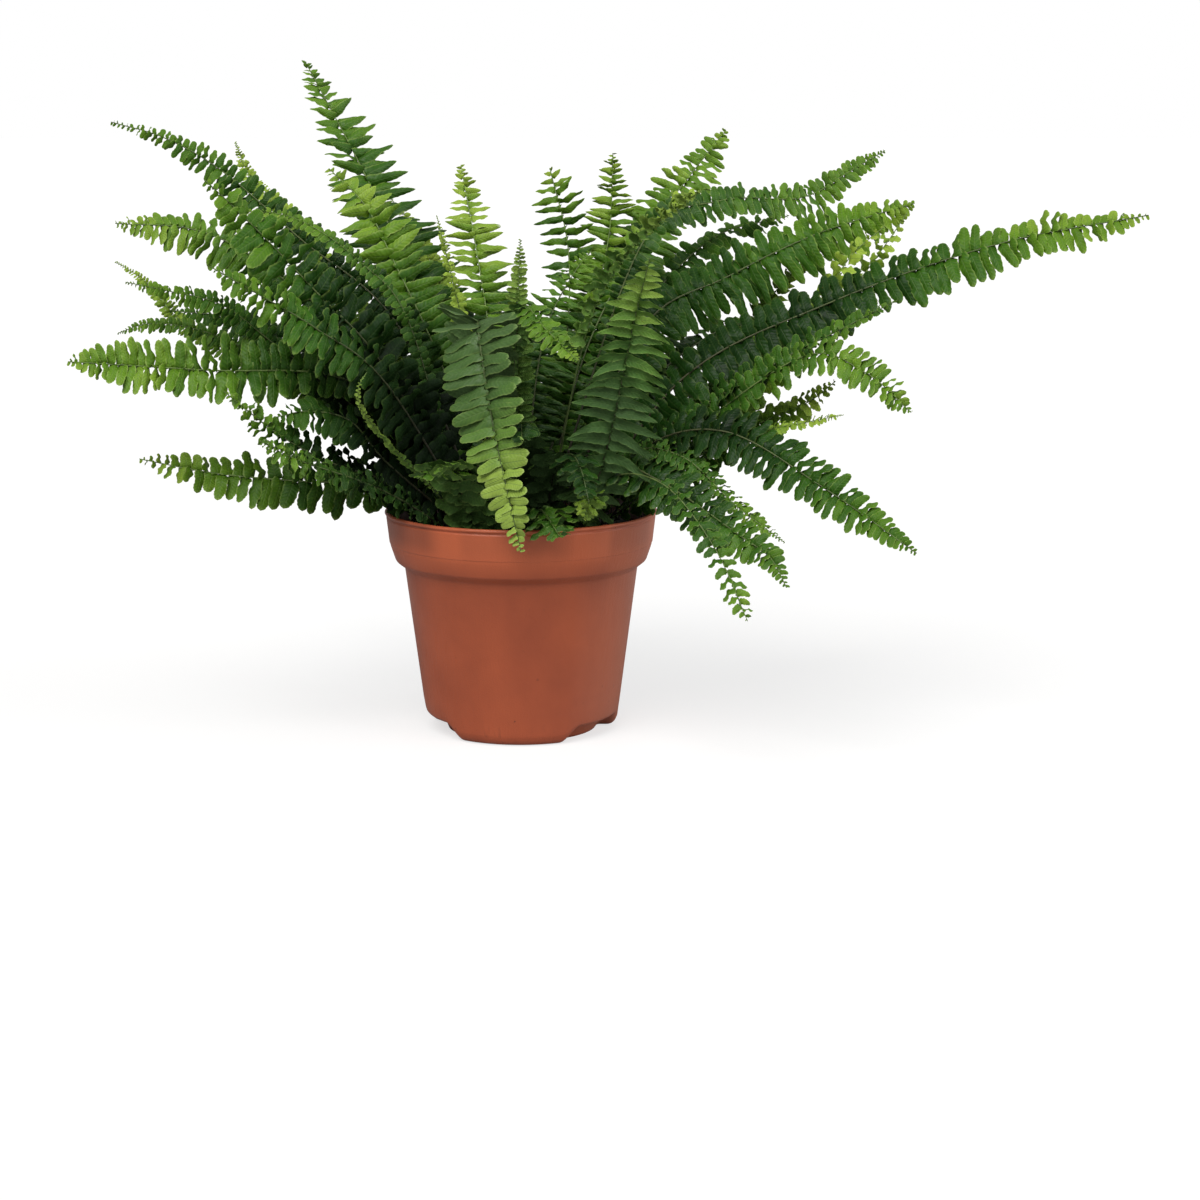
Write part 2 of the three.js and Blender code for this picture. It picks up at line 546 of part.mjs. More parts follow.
// Bends each leaflet clear of all that was set before it, or else leaves it out
function setLeaflets(fronds) {
  const crowd = new Crowd();
  for (const frond of fronds) {
    frond.stations.slice(1).forEach((station, k) => {
      crowd.addRib(frond, k, new THREE.Line3(frond.stations[k].at, station.at));
    });
  }
  for (const frond of fronds) {
    frond.leaflets = new Map();
    const first = frond.stations.length - 1 - frond.count;
    for (let k = first; k < frond.stations.length - 1; k += 1) {
      for (const hand of [1, -1]) {
        const leaflet = clearLeaflet(frond, k, hand, crowd);
        if (leaflet) {
          frond.leaflets.set(`${k} ${hand}`, leaflet);
          crowd.addLeaflet(frond, k, leafletFlats(leaflet));
        }
      }
    }
  }
}

function clearLeaflet(frond, k, hand, crowd) {
  for (const lengthShare of CLEAR_LENGTHS) {
    for (const extraFold of CLEAR_FOLDS) {
      const leaflet = leafletShape(frond, k, hand, extraFold, lengthShare);
      const flats = leafletFlats(leaflet);
      if (!meetsPot(flats) && !crowd.blocks(frond, k, flats)) {
        return leaflet;
      }
    }
  }
  return null;
}

// One closed skin over the stipe, the rib and every leaflet of a frond
function frondGeometry(frond) {
  const corners = [];
  const triangles = [];
  const put = (point) => corners.push(point) - 1;
  const rings = frond.stations.map((station) => {
    const ring = ribCorners(station);
    return { top: put(ring.top), left: put(ring.left), back: put(ring.back), right: put(ring.right) };
  });
  const foot = rings[0];
  triangles.push([foot.top, foot.left, foot.back], [foot.top, foot.back, foot.right]);
  for (let k = 0; k < rings.length - 1; k += 1) {
    for (const hand of [1, -1]) {
      const name = hand > 0 ? 'left' : 'right';
      const low = rings[k];
      const high = rings[k + 1];
      const leaflet = frond.leaflets.get(`${k} ${hand}`);
      const outline = leaflet ? [put(leaflet.shoulder), put(leaflet.tip)] : [];
      const upper = ribSide(low.top, low[name], outline, high[name], high.top);
      const under = ribSide(low.back, low[name], outline, high[name], high.back).map(flipped);
      const faces = [...upper, ...under];
      triangles.push(...(hand > 0 ? faces.map(flipped) : faces));
    }
  }
  const last = rings[rings.length - 1];
  const end = frond.stations[frond.stations.length - 1];
  const point = put(end.at.clone().addScaledVector(end.along, TIP_LENGTH));
  triangles.push([last.top, point, last.left], [last.left, point, last.back]);
  triangles.push([last.back, point, last.right], [last.right, point, last.top]);

  const geometry = new THREE.BufferGeometry();
  geometry.setFromPoints(corners);
  geometry.setIndex(triangles.flat());
  geometry.computeVertexNormals();
  return geometry;
}

// One face of the rib's side between two stations, with the leaflet that grows there
function ribSide(low, lowEdge, outline, highEdge, high) {
  if (outline.length === 0) {
    return [[low, lowEdge, highEdge], [low, highEdge, high]];
  }
  const [shoulder, tip] = outline;
  return [[low, lowEdge, shoulder], [low, shoulder, tip], [low, tip, high], [high, tip, highEdge]];
}

function flipped([a, b, c]) {
  return [a, c, b];
}

function paint(colour, roughness) {
  return new THREE.MeshStandardMaterial({ color: colour, roughness, metalness: 0 });
}

const fronds = FRONDS.map(layOut);
setLeaflets(fronds);

const plant = new THREE.Group();

const pot = new THREE.Mesh(makePot(), paint(POT_COLOUR, POT_ROUGHNESS));
pot.name = 'pot';
plant.add(pot);

const soil = new THREE.Mesh(makeSoil(fronds), paint(SOIL_COLOUR, SOIL_ROUGHNESS));
soil.name = 'soil';
plant.add(soil);

for (const frond of fronds) {
  const colour = OLD_LEAF.clone().lerp(YOUNG_LEAF, frond.row.young);
  const mesh = new THREE.Mesh(frondGeometry(frond), paint(colour, LEAF_ROUGHNESS));
  mesh.name = frond.row.name;
  plant.add(mesh);
}

export default plant;
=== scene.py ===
"""Looks of a potted Boston fern: a plastic nursery pot, peaty soil and fifty-eight arching fronds.

Lengths are metres, except where a field or comment says millimetres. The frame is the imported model's: the
origin is the middle of the pot's base, +X is right and +Y is back for a viewer in front of the plant.
"""

import functools
import itertools
import json
import logging
import math
from collections.abc import Callable, Sequence
from dataclasses import dataclass
from enum import Enum
from typing import ClassVar

import bmesh
import bpy
import numpy as np
from mathutils import Matrix, Vector

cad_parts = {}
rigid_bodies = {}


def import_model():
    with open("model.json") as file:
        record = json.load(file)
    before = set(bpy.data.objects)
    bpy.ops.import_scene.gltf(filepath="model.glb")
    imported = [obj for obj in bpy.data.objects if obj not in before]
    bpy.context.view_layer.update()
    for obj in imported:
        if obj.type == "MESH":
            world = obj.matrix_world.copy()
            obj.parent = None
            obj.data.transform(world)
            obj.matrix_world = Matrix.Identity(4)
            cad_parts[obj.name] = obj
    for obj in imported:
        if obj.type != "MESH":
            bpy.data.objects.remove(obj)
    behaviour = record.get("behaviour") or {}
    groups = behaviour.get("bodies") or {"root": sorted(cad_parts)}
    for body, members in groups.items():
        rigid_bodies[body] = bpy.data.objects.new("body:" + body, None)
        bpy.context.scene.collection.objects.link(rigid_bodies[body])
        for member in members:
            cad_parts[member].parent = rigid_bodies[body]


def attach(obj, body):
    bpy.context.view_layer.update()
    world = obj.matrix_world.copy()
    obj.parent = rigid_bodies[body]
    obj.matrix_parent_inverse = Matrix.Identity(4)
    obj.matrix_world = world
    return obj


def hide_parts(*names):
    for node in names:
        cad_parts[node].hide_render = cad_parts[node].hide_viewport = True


LOG = logging.getLogger("fern")
MM = 0.001
BODY = "root"

Colour = tuple[float, float, float, float]
# The low and high end of what goes into a span, and what comes out at each
Span = tuple[float, float, float, float]
WHITE: Colour = (1.0, 1.0, 1.0, 1.0)
# Nearly all of a soft noise lies between these two values
NOISE_LOW = 0.3
NOISE_HIGH = 0.7

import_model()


def linear(red: int, green: int, blue: int) -> Colour:
    """A colour given in 0 to 255 as on a screen, as the linear colour that shaders take."""
    shares = (c / 255 for c in (red, green, blue))
    return (*(s / 12.92 if s <= 0.04045 else ((s + 0.055) / 1.055) ** 2.4 for s in shares), 1.0)


def smooth(value: float, low: float, high: float) -> float:
    """Eases from 0 at low to 1 at high."""
    share = min(1.0, max(0.0, (value - low) / (high - low)))
    return share * share * (3 - 2 * share)


class Wiring:
    """Adds nodes to one tree and joins them, in short calls."""

    def __init__(self, tree: bpy.types.NodeTree) -> None:
        """Takes the tree that the nodes go into."""
        self.tree = tree

    def feed(self, socket: bpy.types.NodeSocket, value: object) -> None:
        """Gives an input a value, or joins it to a node or to one of a node's outputs.

        Args:
            socket: The input.
            value: A value, an output, or a node, whose first output in use is taken. None changes nothing.
        """
        if isinstance(value, bpy.types.Node):
            value = next(s for s in value.outputs if s.enabled)
        if isinstance(value, bpy.types.NodeSocket):
            self.tree.links.new(value, socket)
        elif value is not None:
            socket.default_value = value

    def add(self, kind: str, *values: object, **settings: object) -> bpy.types.Node:
        """Adds one node.

        Args:
            kind: The node's type.
            values: What its sockets in use take, in their order. None leaves one as it is.
            settings: Properties of the node, which are set first.

        Returns:
            The new node.
        """
        node = self.tree.nodes.new(kind)
        for name, value in settings.items():
            setattr(node, name, value)
        for socket, value in zip([s for s in node.inputs if s.enabled], values):
            self.feed(socket, value)
        return node

    def math(self, operation: str, *values: object) -> bpy.types.NodeSocket:
        """A calculation with one to three numbers."""
        return self.add("ShaderNodeMath", *values, operation=operation).outputs[0]

    def times(self, *values: object) -> bpy.types.NodeSocket:
        """Multiplies numbers in their order."""
        return functools.reduce(lambda product, value: self.math("MULTIPLY", product, value), values)

    def plus(self, *values: object) -> bpy.types.NodeSocket:
        """Adds numbers in their order."""
        return functools.reduce(lambda total, value: self.math("ADD", total, value), values)

    def vector(self, operation: str, *values: object) -> bpy.types.Node:
        """A calculation with vectors."""
        return self.add("ShaderNodeVectorMath", *values, operation=operation)

    def scaled(self, vector: object, factor: object) -> bpy.types.Node:
        """Multiplies a vector by a number.

        Args:
            vector: The vector.
            factor: The number.

        Returns:
            The node that does it.
        """
        node = self.vector("SCALE", vector)
        self.feed(node.inputs["Scale"], factor)
        return node

    def span(self, value: object, low: object, high: object, start: object, end: object,
             eased: bool = False) -> bpy.types.NodeSocket:
        """Maps one range of numbers to another and holds it there.

        Args:
            value: The number that is mapped.
            low: Where the range starts.
            high: Where it ends.
            start: What low becomes.
            end: What high becomes.
            eased: Whether it eases at both ends, not on a straight line.

        Returns:
            The mapped number.
        """
        kind = "SMOOTHSTEP" if eased else "LINEAR"
        node = self.add("ShaderNodeMapRange", value, low, high, start, end, interpolation_type=kind)
        return node.outputs[0]

    def mix(self, share: object, first: object, second: object, blend: str = "MIX") -> bpy.types.NodeSocket:
        """Mixes two colours."""
        node = self.add("ShaderNodeMix", share, first, second, data_type="RGBA", blend_type=blend)
        return next(s for s in node.outputs if s.enabled)

    def noise(self, place: object, scale: float, detail: float = 2.0) -> bpy.types.NodeSocket:
        """Soft noise between 0 and 1 at a place."""
        return self.add("ShaderNodeTexNoise", place, scale, detail).outputs[0]

    def place(self) -> bpy.types.NodeSocket:
        """The place on the object."""
        return self.add("ShaderNodeTexCoord").outputs["Object"]

    def attribute(self, name: str) -> bpy.types.NodeSocket:
        """A number that the mesh carries."""
        return self.add("ShaderNodeAttribute", attribute_name=name).outputs["Fac"]

    def joined(self, *branches: object) -> bpy.types.Node:
        """Joins geometries.

        Args:
            branches: The geometries.

        Returns:
            The node that joins them.
        """
        node = self.add("GeometryNodeJoinGeometry")
        for branch in branches:
            self.feed(node.inputs[0], branch)
        return node


class TreeInputs:
    """The named inputs of a geometry node tree, and how a modifier's values reach them."""

    def __init__(self, tree: bpy.types.NodeTree) -> None:
        """Takes the tree, which gets a geometry input and output.

        Args:
            tree: The tree.
        """
        self.tree = tree
        self.names: dict[str, str] = {}
        tree.interface.new_socket("Geometry", in_out="INPUT", socket_type="NodeSocketGeometry")
        tree.interface.new_socket("Geometry", in_out="OUTPUT", socket_type="NodeSocketGeometry")

    def declare(self, kind: str, *names: str) -> None:
        """Adds inputs of one kind.

        Args:
            kind: The kind, such as Float or Collection.
            names: Name of each input.
        """
        for name in names:
            socket = self.tree.interface.new_socket(name, in_out="INPUT", socket_type=f"NodeSocket{kind}")
            self.names[name] = socket.identifier

    def fill(self, modifier: bpy.types.Modifier, values: dict[str, object]) -> None:
        """Sets the modifier's inputs by their sockets' identifiers."""
        for name, value in values.items():
            modifier[self.names[name]] = value


def grown(name: str, mesh: bpy.types.Mesh, inputs: TreeInputs,
          values: dict[str, object]) -> bpy.types.Object:
    """Runs a geometry node tree on a mesh and keeps its result as a plain piece.

    Args:
        name: Name of the piece.
        mesh: What the tree starts from.
        inputs: The tree's inputs.
        values: A value for each named input.

    Returns:
        The piece, with no modifier left.
    """
    holder = bpy.data.objects.new(f"{name} start", mesh)
    bpy.context.scene.collection.objects.link(holder)
    modifier = holder.modifiers.new("growth", "NODES")
    modifier.node_group = inputs.tree
    inputs.fill(modifier, values)
    depsgraph = bpy.context.evaluated_depsgraph_get()
    result = bpy.data.meshes.new_from_object(
        holder.evaluated_get(depsgraph), preserve_all_data_layers=True, depsgraph=depsgraph)
    result.name = name
    holder.modifiers.remove(modifier)
    bpy.data.objects.remove(holder)
    piece = bpy.data.objects.new(name, result)
    bpy.context.scene.collection.objects.link(piece)
    return piece


def mesh_piece(name: str, points: np.ndarray, faces: Sequence[Sequence[int]]) -> bpy.types.Object:
    """A smooth-shaded piece.

    Args:
        name: Name of the piece and its mesh.
        points: Its points, in metres.
        faces: The points of each face, by number.

    Returns:
        The piece.
    """
    mesh = bpy.data.meshes.new(name)
    mesh.from_pydata([tuple(p) for p in points], [], faces)
    mesh.shade_smooth()
    piece = bpy.data.objects.new(name, mesh)
    bpy.context.scene.collection.objects.link(piece)
    return piece


class Surface:
    """A material with its Principled shader, and the wiring of its nodes."""

    def __init__(self, name: str) -> None:
        """Starts the material.

        Args:
            name: Name of the material.
        """
        self.material = bpy.data.materials.new(name)
        self.material.use_nodes = True
        self.wiring = Wiring(self.material.node_tree)
        self.shader = self.material.node_tree.nodes["Principled BSDF"]

    def take(self, values: dict[str, object]) -> None:
        """Feeds the shader's inputs by their names."""
        for name, value in values.items():
            self.wiring.feed(self.shader.inputs[name], value)

    def finished(self, colour: object, roughness: object, height: object, depth: float,
                 strength: float = 1.0) -> bpy.types.Material:
        """Gives the shader its colour, roughness and relief.

        Args:
            colour: The base colour.
            roughness: The roughness.
            height: Height of the relief, as a share of its depth.
            depth: Depth of the relief, in metres.
            strength: How strongly the relief shows.

        Returns:
            The material.
        """
        bump = self.wiring.add("ShaderNodeBump")
        for name, value in (("Distance", depth), ("Strength", strength), ("Height", height)):
            self.wiring.feed(bump.inputs[name], value)
        self.take({"Base Color": colour, "Roughness": roughness, "Normal": bump})
        return self.material


class Blotches:
    """Shader group: soft patches and fine specks on Object coordinates, for every finish."""

    _tree: bpy.types.NodeTree | None = None

    @classmethod
    def add_to(cls, wiring: Wiring, patch_scale: float, speck_scale: float) -> bpy.types.Node:
        """Places the group in a material.

        Args:
            wiring: The material's wiring.
            patch_scale: Number of patches to a metre.
            speck_scale: Number of specks to a metre.

        Returns:
            The group's node.
        """
        cls._tree = cls._tree or cls._build()
        node = wiring.add("ShaderNodeGroup", node_tree=cls._tree)
        node.inputs["Patch Scale"].default_value = patch_scale
        node.inputs["Speck Scale"].default_value = speck_scale
        return node

    @staticmethod
    def _build() -> bpy.types.NodeTree:
        """Builds the group once.

        Returns:
            The group.
        """
        tree = bpy.data.node_groups.new("blotches", "ShaderNodeTree")
        for name in ("Patch Scale", "Speck Scale"):
            tree.interface.new_socket(name, in_out="INPUT", socket_type="NodeSocketFloat")
        for name in ("Patches", "Specks"):
            tree.interface.new_socket(name, in_out="OUTPUT", socket_type="NodeSocketFloat")
        w = Wiring(tree)
        source = w.add("NodeGroupInput")
        place = w.place()
        patches = w.noise(place, source.outputs["Patch Scale"], 3.0)
        specks = w.noise(place, source.outputs["Speck Scale"], 4.0)
        w.add("NodeGroupOutput", patches, specks)
        return tree


class LeafBlade:
    """Shader group: the colour, gloss and relief of a leaflet, from its UV map, its age and its place, with
    painted shade towards the crown and a painted sheen where a frond has one.
    """

    _tree: bpy.types.NodeTree | None = None
    AGES = (
        (0.0, linear(9, 29, 9)),
        (0.25, linear(28, 60, 15)),
        (0.5, linear(54, 95, 21)),
        (0.75, linear(95, 134, 31)),
        (1.0, linear(151, 179, 62)),
    )
    UNDERSIDE = linear(96, 128, 76)
    MIDRIB = linear(104, 128, 70)
    MARGIN = linear(164, 188, 98)
    # Painted sheen: the pale colour that stands in for a gloss reflection on some fronds.
    PAINTED_SHEEN = linear(158, 186, 132)
    DRY = linear(120, 84, 44)
    # Painted shade: CROWN, CROWN_STRETCH, SHADED_REACH and SHADED darken the colour near the crown, where
    # the fronds shade one another; UNSHADED_BY_AGE spares young leaflets.
    CROWN = (-0.05, 0.0, 0.14)
    SHADED_REACH = (0.03, 0.12)
    SHADED: Colour = (0.12, 0.21, 0.07, 1.0)
    CROWN_STRETCH = (1.0, 1.0, 1.3)
    CLOUDS_TO_METRE = 45.0
    SPECKS_TO_METRE = 900.0
    SPECK_DETAIL = 3.0
    VEINS = 52.0
    VEIN_SLANT = 7.0
    MARGIN_FROM = 0.72
    TIP_FROM = 0.88
    MIDRIB_EDGE = (0.03, 0.12)
    TINT_SWING = 0.16
    CLOUD_SWING = 0.3
    VEIN_SWING = 0.05
    PALER_TIP = 0.08
    MARGIN_BY_AGE: Span = (0.1, 0.9, 0.06, 0.68)
    MIDRIB_BY_AGE: Span = (0.1, 0.7, 0.08, 0.4)
    UNDERSIDE_SHARE = 0.35
    DRY_SPECKS: Span = (0.66, 0.74, 0.0, 0.5)
    DRY_PATCHES: Span = (0.55, 0.7, 0.0, 1.0)
    UNSHADED_BY_AGE: Span = (0.2, 0.65, 0.0, 1.0)
    ROUGHNESS = (0.3, 0.46)
    ROUGHER_UNDERSIDE = 0.2
    ROUGHER_NEW = 0.12
    ROUGHER_CROWN = 0.3
    VEIN_RELIEF = 0.6
    MIDRIB_RELIEF = 0.6
    SPECK_RELIEF = 0.3

    @classmethod
    def add_to(cls, wiring: Wiring) -> bpy.types.Node:
        """Places the group in a material."""
        cls._tree = cls._tree or cls._build()
        return wiring.add("ShaderNodeGroup", node_tree=cls._tree)

    @classmethod
    def _build(cls) -> bpy.types.NodeTree:
        """Builds the group once.

        Returns:
            The group.
        """
        tree = bpy.data.node_groups.new("leaf blade", "ShaderNodeTree")
        for name, kind in (("Color", "Color"), ("Roughness", "Float"), ("Height", "Float")):
            tree.interface.new_socket(name, in_out="OUTPUT", socket_type=f"NodeSocket{kind}")
        w = Wiring(tree)
        uv = w.add("ShaderNodeSeparateXYZ", w.add("ShaderNodeUVMap", uv_map="UVMap"))
        reach = uv.outputs["X"]
        across = w.times(w.math("ABSOLUTE", w.math("SUBTRACT", uv.outputs["Y"], 0.5)), 2.0)
        age, tint, under, bloom = (w.attribute(name) for name in ("age", "tint", "under", "bloom"))
        place = w.place()
        cloud = w.noise(place, cls.CLOUDS_TO_METRE)
        fine = w.noise(place, cls.SPECKS_TO_METRE, cls.SPECK_DETAIL)

        margin = w.math("MAXIMUM", w.span(across, cls.MARGIN_FROM, 1.0, 0.0, 1.0, eased=True),
                        w.span(reach, cls.TIP_FROM, 1.0, 0.0, 1.0, eased=True))
        midrib = w.span(across, *cls.MIDRIB_EDGE, 1.0, 0.0, eased=True)
        slant = w.math("SUBTRACT", w.times(reach, cls.VEINS), w.times(across, cls.VEIN_SLANT))
        veins = w.span(w.math("SINE", slant), -1.0, 1.0, 0.0, 1.0)

        shade = age
        for pattern, swing in ((tint, cls.TINT_SWING), (cloud, cls.CLOUD_SWING), (veins, cls.VEIN_SWING)):
            shade = w.plus(shade, w.times(w.math("SUBTRACT", pattern, 0.5), swing))
        shade = w.plus(shade, w.times(reach, cls.PALER_TIP))
        ramp = w.add("ShaderNodeValToRGB", shade)
        elements = ramp.color_ramp.elements
        elements[0].position, elements[0].color = cls.AGES[0]
        elements[1].position, elements[1].color = cls.AGES[-1]
        for place_on_ramp, colour in cls.AGES[1:-1]:
            elements.new(place_on_ramp).color = colour
        colour = ramp.outputs["Color"]

        colour = w.mix(w.times(margin, w.span(age, *cls.MARGIN_BY_AGE)), colour, cls.MARGIN)
        colour = w.mix(w.times(midrib, w.span(age, *cls.MIDRIB_BY_AGE)), colour, cls.MIDRIB)
        colour = w.mix(w.times(under, cls.UNDERSIDE_SHARE), colour, cls.UNDERSIDE)
        # Painted sheen: pales the leaflets as a gloss reflection would.
        colour = w.mix(bloom, colour, cls.PAINTED_SHEEN)
        spots = w.times(w.span(fine, *cls.DRY_SPECKS), w.span(cloud, *cls.DRY_PATCHES))
        colour = w.mix(spots, colour, cls.DRY)
        # Painted shade: the colour darkens towards the crown, less so on young leaflets.
        from_crown = w.vector("MULTIPLY", w.vector("SUBTRACT", place, cls.CROWN), cls.CROWN_STRETCH)
        from_crown = w.vector("LENGTH", from_crown).outputs["Value"]
        lit = w.span(from_crown, *cls.SHADED_REACH, 0.0, 1.0, eased=True)
        lit = w.math("MAXIMUM", lit, w.span(age, *cls.UNSHADED_BY_AGE))
        colour = w.mix(1.0, colour, w.mix(lit, cls.SHADED, WHITE), "MULTIPLY")

        rough = w.plus(w.span(fine, NOISE_LOW, NOISE_HIGH, *cls.ROUGHNESS),
                       w.times(under, cls.ROUGHER_UNDERSIDE), w.times(age, cls.ROUGHER_NEW),
                       w.span(lit, 0.0, 1.0, cls.ROUGHER_CROWN, 0.0))
        height = w.math("SUBTRACT", w.times(veins, cls.VEIN_RELIEF), w.times(midrib, cls.MIDRIB_RELIEF))
        height = w.plus(height, w.times(fine, cls.SPECK_RELIEF))
        w.add("NodeGroupOutput", colour, rough, height)
        return tree


@dataclass(frozen=True)
class LeafFinish:
    """The finish of the leaflets of one age group, with the gloss that its slot has."""

    slot: str
    relief: float = 0.00022
    relief_strength: float = 0.7

    SPECULAR: ClassVar[dict[str, float]] = {"frond_old": 0.15, "frond_green": 0.23, "frond_young": 0.24}

    def material(self) -> bpy.types.Material:
        """Builds the material.

        Returns:
            The material.
        """
        surface = Surface(self.slot)
        blade = LeafBlade.add_to(surface.wiring).outputs
        surface.take({"Specular IOR Level": self.SPECULAR[self.slot]})
        return surface.finished(blade["Color"], blade["Roughness"], blade["Height"], self.relief,
                                self.relief_strength)


@dataclass(frozen=True)
class RibFinish:
    """The finish of stipes and ribs: brown and scurfy low down, green to the tip, pale on new fronds, with
    painted shade near the crown.
    """

    low: Colour = linear(54, 40, 25)
    middle: Colour = linear(66, 66, 38)
    high: Colour = linear(84, 106, 48)
    fresh: Colour = linear(122, 150, 76)
    crown: tuple[float, float, float] = (-0.02, 0.0, 0.14)
    shaded_reach: tuple[float, float] = (0.05, 0.13)
    shaded_share: float = 0.4
    patches: float = 160.0
    specks: float = 1800.0
    out_of_brown: Span = (0.05, 0.3, 0.0, 1.0)
    into_green: Span = (0.3, 0.9, 0.0, 1.0)
    fresh_by_age: Span = (0.2, 0.6, 0.0, 0.9)
    fresh_along: Span = (0.1, 0.4, 0.0, 1.0)
    mottling: Span = (0.35, 0.65, 0.72, 1.2)
    roughness: tuple[float, float] = (0.4, 0.6)
    relief: float = 0.0002

    def material(self) -> bpy.types.Material:
        """Builds the material.

        Returns:
            The material.
        """
        surface = Surface("frond rib")
        w = surface.wiring
        along = w.attribute("along")
        blotches = Blotches.add_to(w, self.patches, self.specks).outputs
        colour = w.mix(w.span(along, *self.out_of_brown), self.low, self.middle)
        colour = w.mix(w.span(along, *self.into_green), colour, self.high)
        fresh = w.times(w.span(w.attribute("age"), *self.fresh_by_age), w.span(along, *self.fresh_along))
        colour = w.mix(fresh, colour, self.fresh)
        # Painted shade: ribs near the crown are darkened as the shade among the fronds would darken them;
        # the patches are the rib's own mottling.
        from_crown = w.vector("LENGTH", w.vector("SUBTRACT", w.place(), self.crown)).outputs["Value"]
        shade = w.times(w.span(blotches["Patches"], *self.mottling),
                        w.span(from_crown, *self.shaded_reach, self.shaded_share, 1.0, eased=True))
        colour = w.mix(1.0, colour, w.add("ShaderNodeCombineColor", shade, shade, shade), "MULTIPLY")
        rough = w.span(blotches["Specks"], NOISE_LOW, NOISE_HIGH, *self.roughness)
        return surface.finished(colour, rough, blotches["Specks"], self.relief)


@dataclass(frozen=True)
class PotFinish:
    """Terracotta-coloured moulded plastic, a little mottled, scuffed at its foot and dusty with peat, with
    light
    and shade painted into its colour: a lighter collar, a pale reflection on the right, frond shadows on the
    collar and shade on the inside wall.

    painted_shadows gives the first and last bearing of each painted shadow, in degrees, its lowest height
    and its share.
    """

    colour: Colour = linear(180, 88, 54)
    dark: Colour = linear(146, 68, 42)
    dirt_and_shade: Colour = linear(54, 38, 30)
    painted_collar_light: Colour = linear(208, 106, 66)
    painted_reflection: Colour = linear(206, 142, 118)
    scuff_and_shadow: Colour = linear(88, 48, 36)
    painted_shadows: tuple[tuple[float, float, float, float], ...] = (
        (-114.0, -70.0, 0.1, 0.2),
        (-48.0, -18.0, 0.098, 0.3),
        (-180.0, -128.0, 0.1, 0.5),
    )
    shadow_starts_over: float = 3.0
    shadow_ends_over: float = 6.0
    shadow_foot: tuple[float, float] = (-8 * MM, 6 * MM)
    foot_height: float = 14 * MM
    patches: float = 26.0
    specks: float = 1400.0
    streak_scale: tuple[float, float, float] = (60.0, 60.0, 9.0)
    scuff_scale: tuple[float, float, float] = (500.0, 500.0, 90.0)
    fleck_scale: tuple[float, float, float] = (260.0, 260.0, 200.0)
    mottling: Span = (0.35, 0.7, 0.0, 0.55)
    streaking: Span = (0.45, 0.8, 0.0, 0.35)
    scuffing: Span = (0.6, 0.72, 0.0, 0.4)
    flecking: Span = (0.7, 0.74, 0.0, 0.8)
    flecks_by_height: Span = (0.0, 0.05, 1.0, 0.1)
    painted_collar_light_by_height: Span = (0.088, 0.098, 0.0, 0.75)
    painted_reflection_starts: Span = (-62.0, -20.0, 0.0, 0.3)
    painted_reflection_ends: Span = (30.0, 60.0, 1.0, 0.0)
    painted_shade_inside: float = 0.85
    speckling: Span = (0.7, 0.76, 0.0, 0.3)
    specks_in_streaks: Span = (0.5, 0.7, 0.0, 1.0)
    roughness: tuple[float, float] = (0.36, 0.5)
    relief: float = 0.00012

    def material(self) -> bpy.types.Material:
        """Builds the material.

        Returns:
            The material.
        """
        surface = Surface("pot plastic")
        w = surface.wiring
        place = w.place()
        at = w.add("ShaderNodeSeparateXYZ", place).outputs
        height = at["Z"]
        turn = w.times(w.math("ARCTAN2", at["Y"], at["X"]), 180 / math.pi)
        blotches = Blotches.add_to(w, self.patches, self.specks).outputs
        streaks = w.noise(w.vector("MULTIPLY", place, self.streak_scale), 1.0, 3.0)
        scuffs = w.noise(w.vector("MULTIPLY", place, self.scuff_scale), 1.0, 2.0)
        flecks = w.noise(w.vector("MULTIPLY", place, self.fleck_scale), 1.0, 4.0)

        colour = w.mix(w.span(blotches["Patches"], *self.mottling), self.colour, self.dark)
        colour = w.mix(w.span(streaks, *self.streaking), colour, self.dark)
        near_foot = w.span(height, 0.0, self.foot_height, 1.0, 0.0)
        colour = w.mix(w.times(w.span(scuffs, *self.scuffing), near_foot), colour, self.scuff_and_shadow)
        flecked = w.times(w.span(flecks, *self.flecking), w.span(height, *self.flecks_by_height))
        colour = w.mix(flecked, colour, self.dirt_and_shade)
        # Painted light: the collar is lightened where light and a glossy reflection fall on it.
        colour = w.mix(w.span(height, *self.painted_collar_light_by_height), colour, self.painted_collar_light)
        # Painted reflection: a pale haze on the right of the wall, where a lamp's soft reflection falls.
        painted_reflection_share = w.times(w.span(turn, *self.painted_reflection_starts), w.span(turn, *self.painted_reflection_ends))
        colour = w.mix(painted_reflection_share, colour, self.painted_reflection)
        # Painted shadows: darker bands on the collar where the fronds' shadows fall.
        for scuff_and_shadow in self.painted_shadows:
            colour = w.mix(self._shadowed(w, turn, height, scuff_and_shadow), colour, self.scuff_and_shadow)
        # Painted shade: the inside wall is darkened as the shade inside the pot would darken it; the flecks
        # and specks are real dust.
        colour = w.mix(w.times(w.attribute("inside"), self.painted_shade_inside), colour, self.dirt_and_shade)
        specks = w.times(w.span(blotches["Specks"], *self.speckling),
                         w.span(streaks, *self.specks_in_streaks))
        colour = w.mix(specks, colour, self.dirt_and_shade)
        rough = w.span(blotches["Patches"], NOISE_LOW, NOISE_HIGH, *self.roughness)
        return surface.finished(colour, rough, w.plus(blotches["Specks"], scuffs), self.relief)

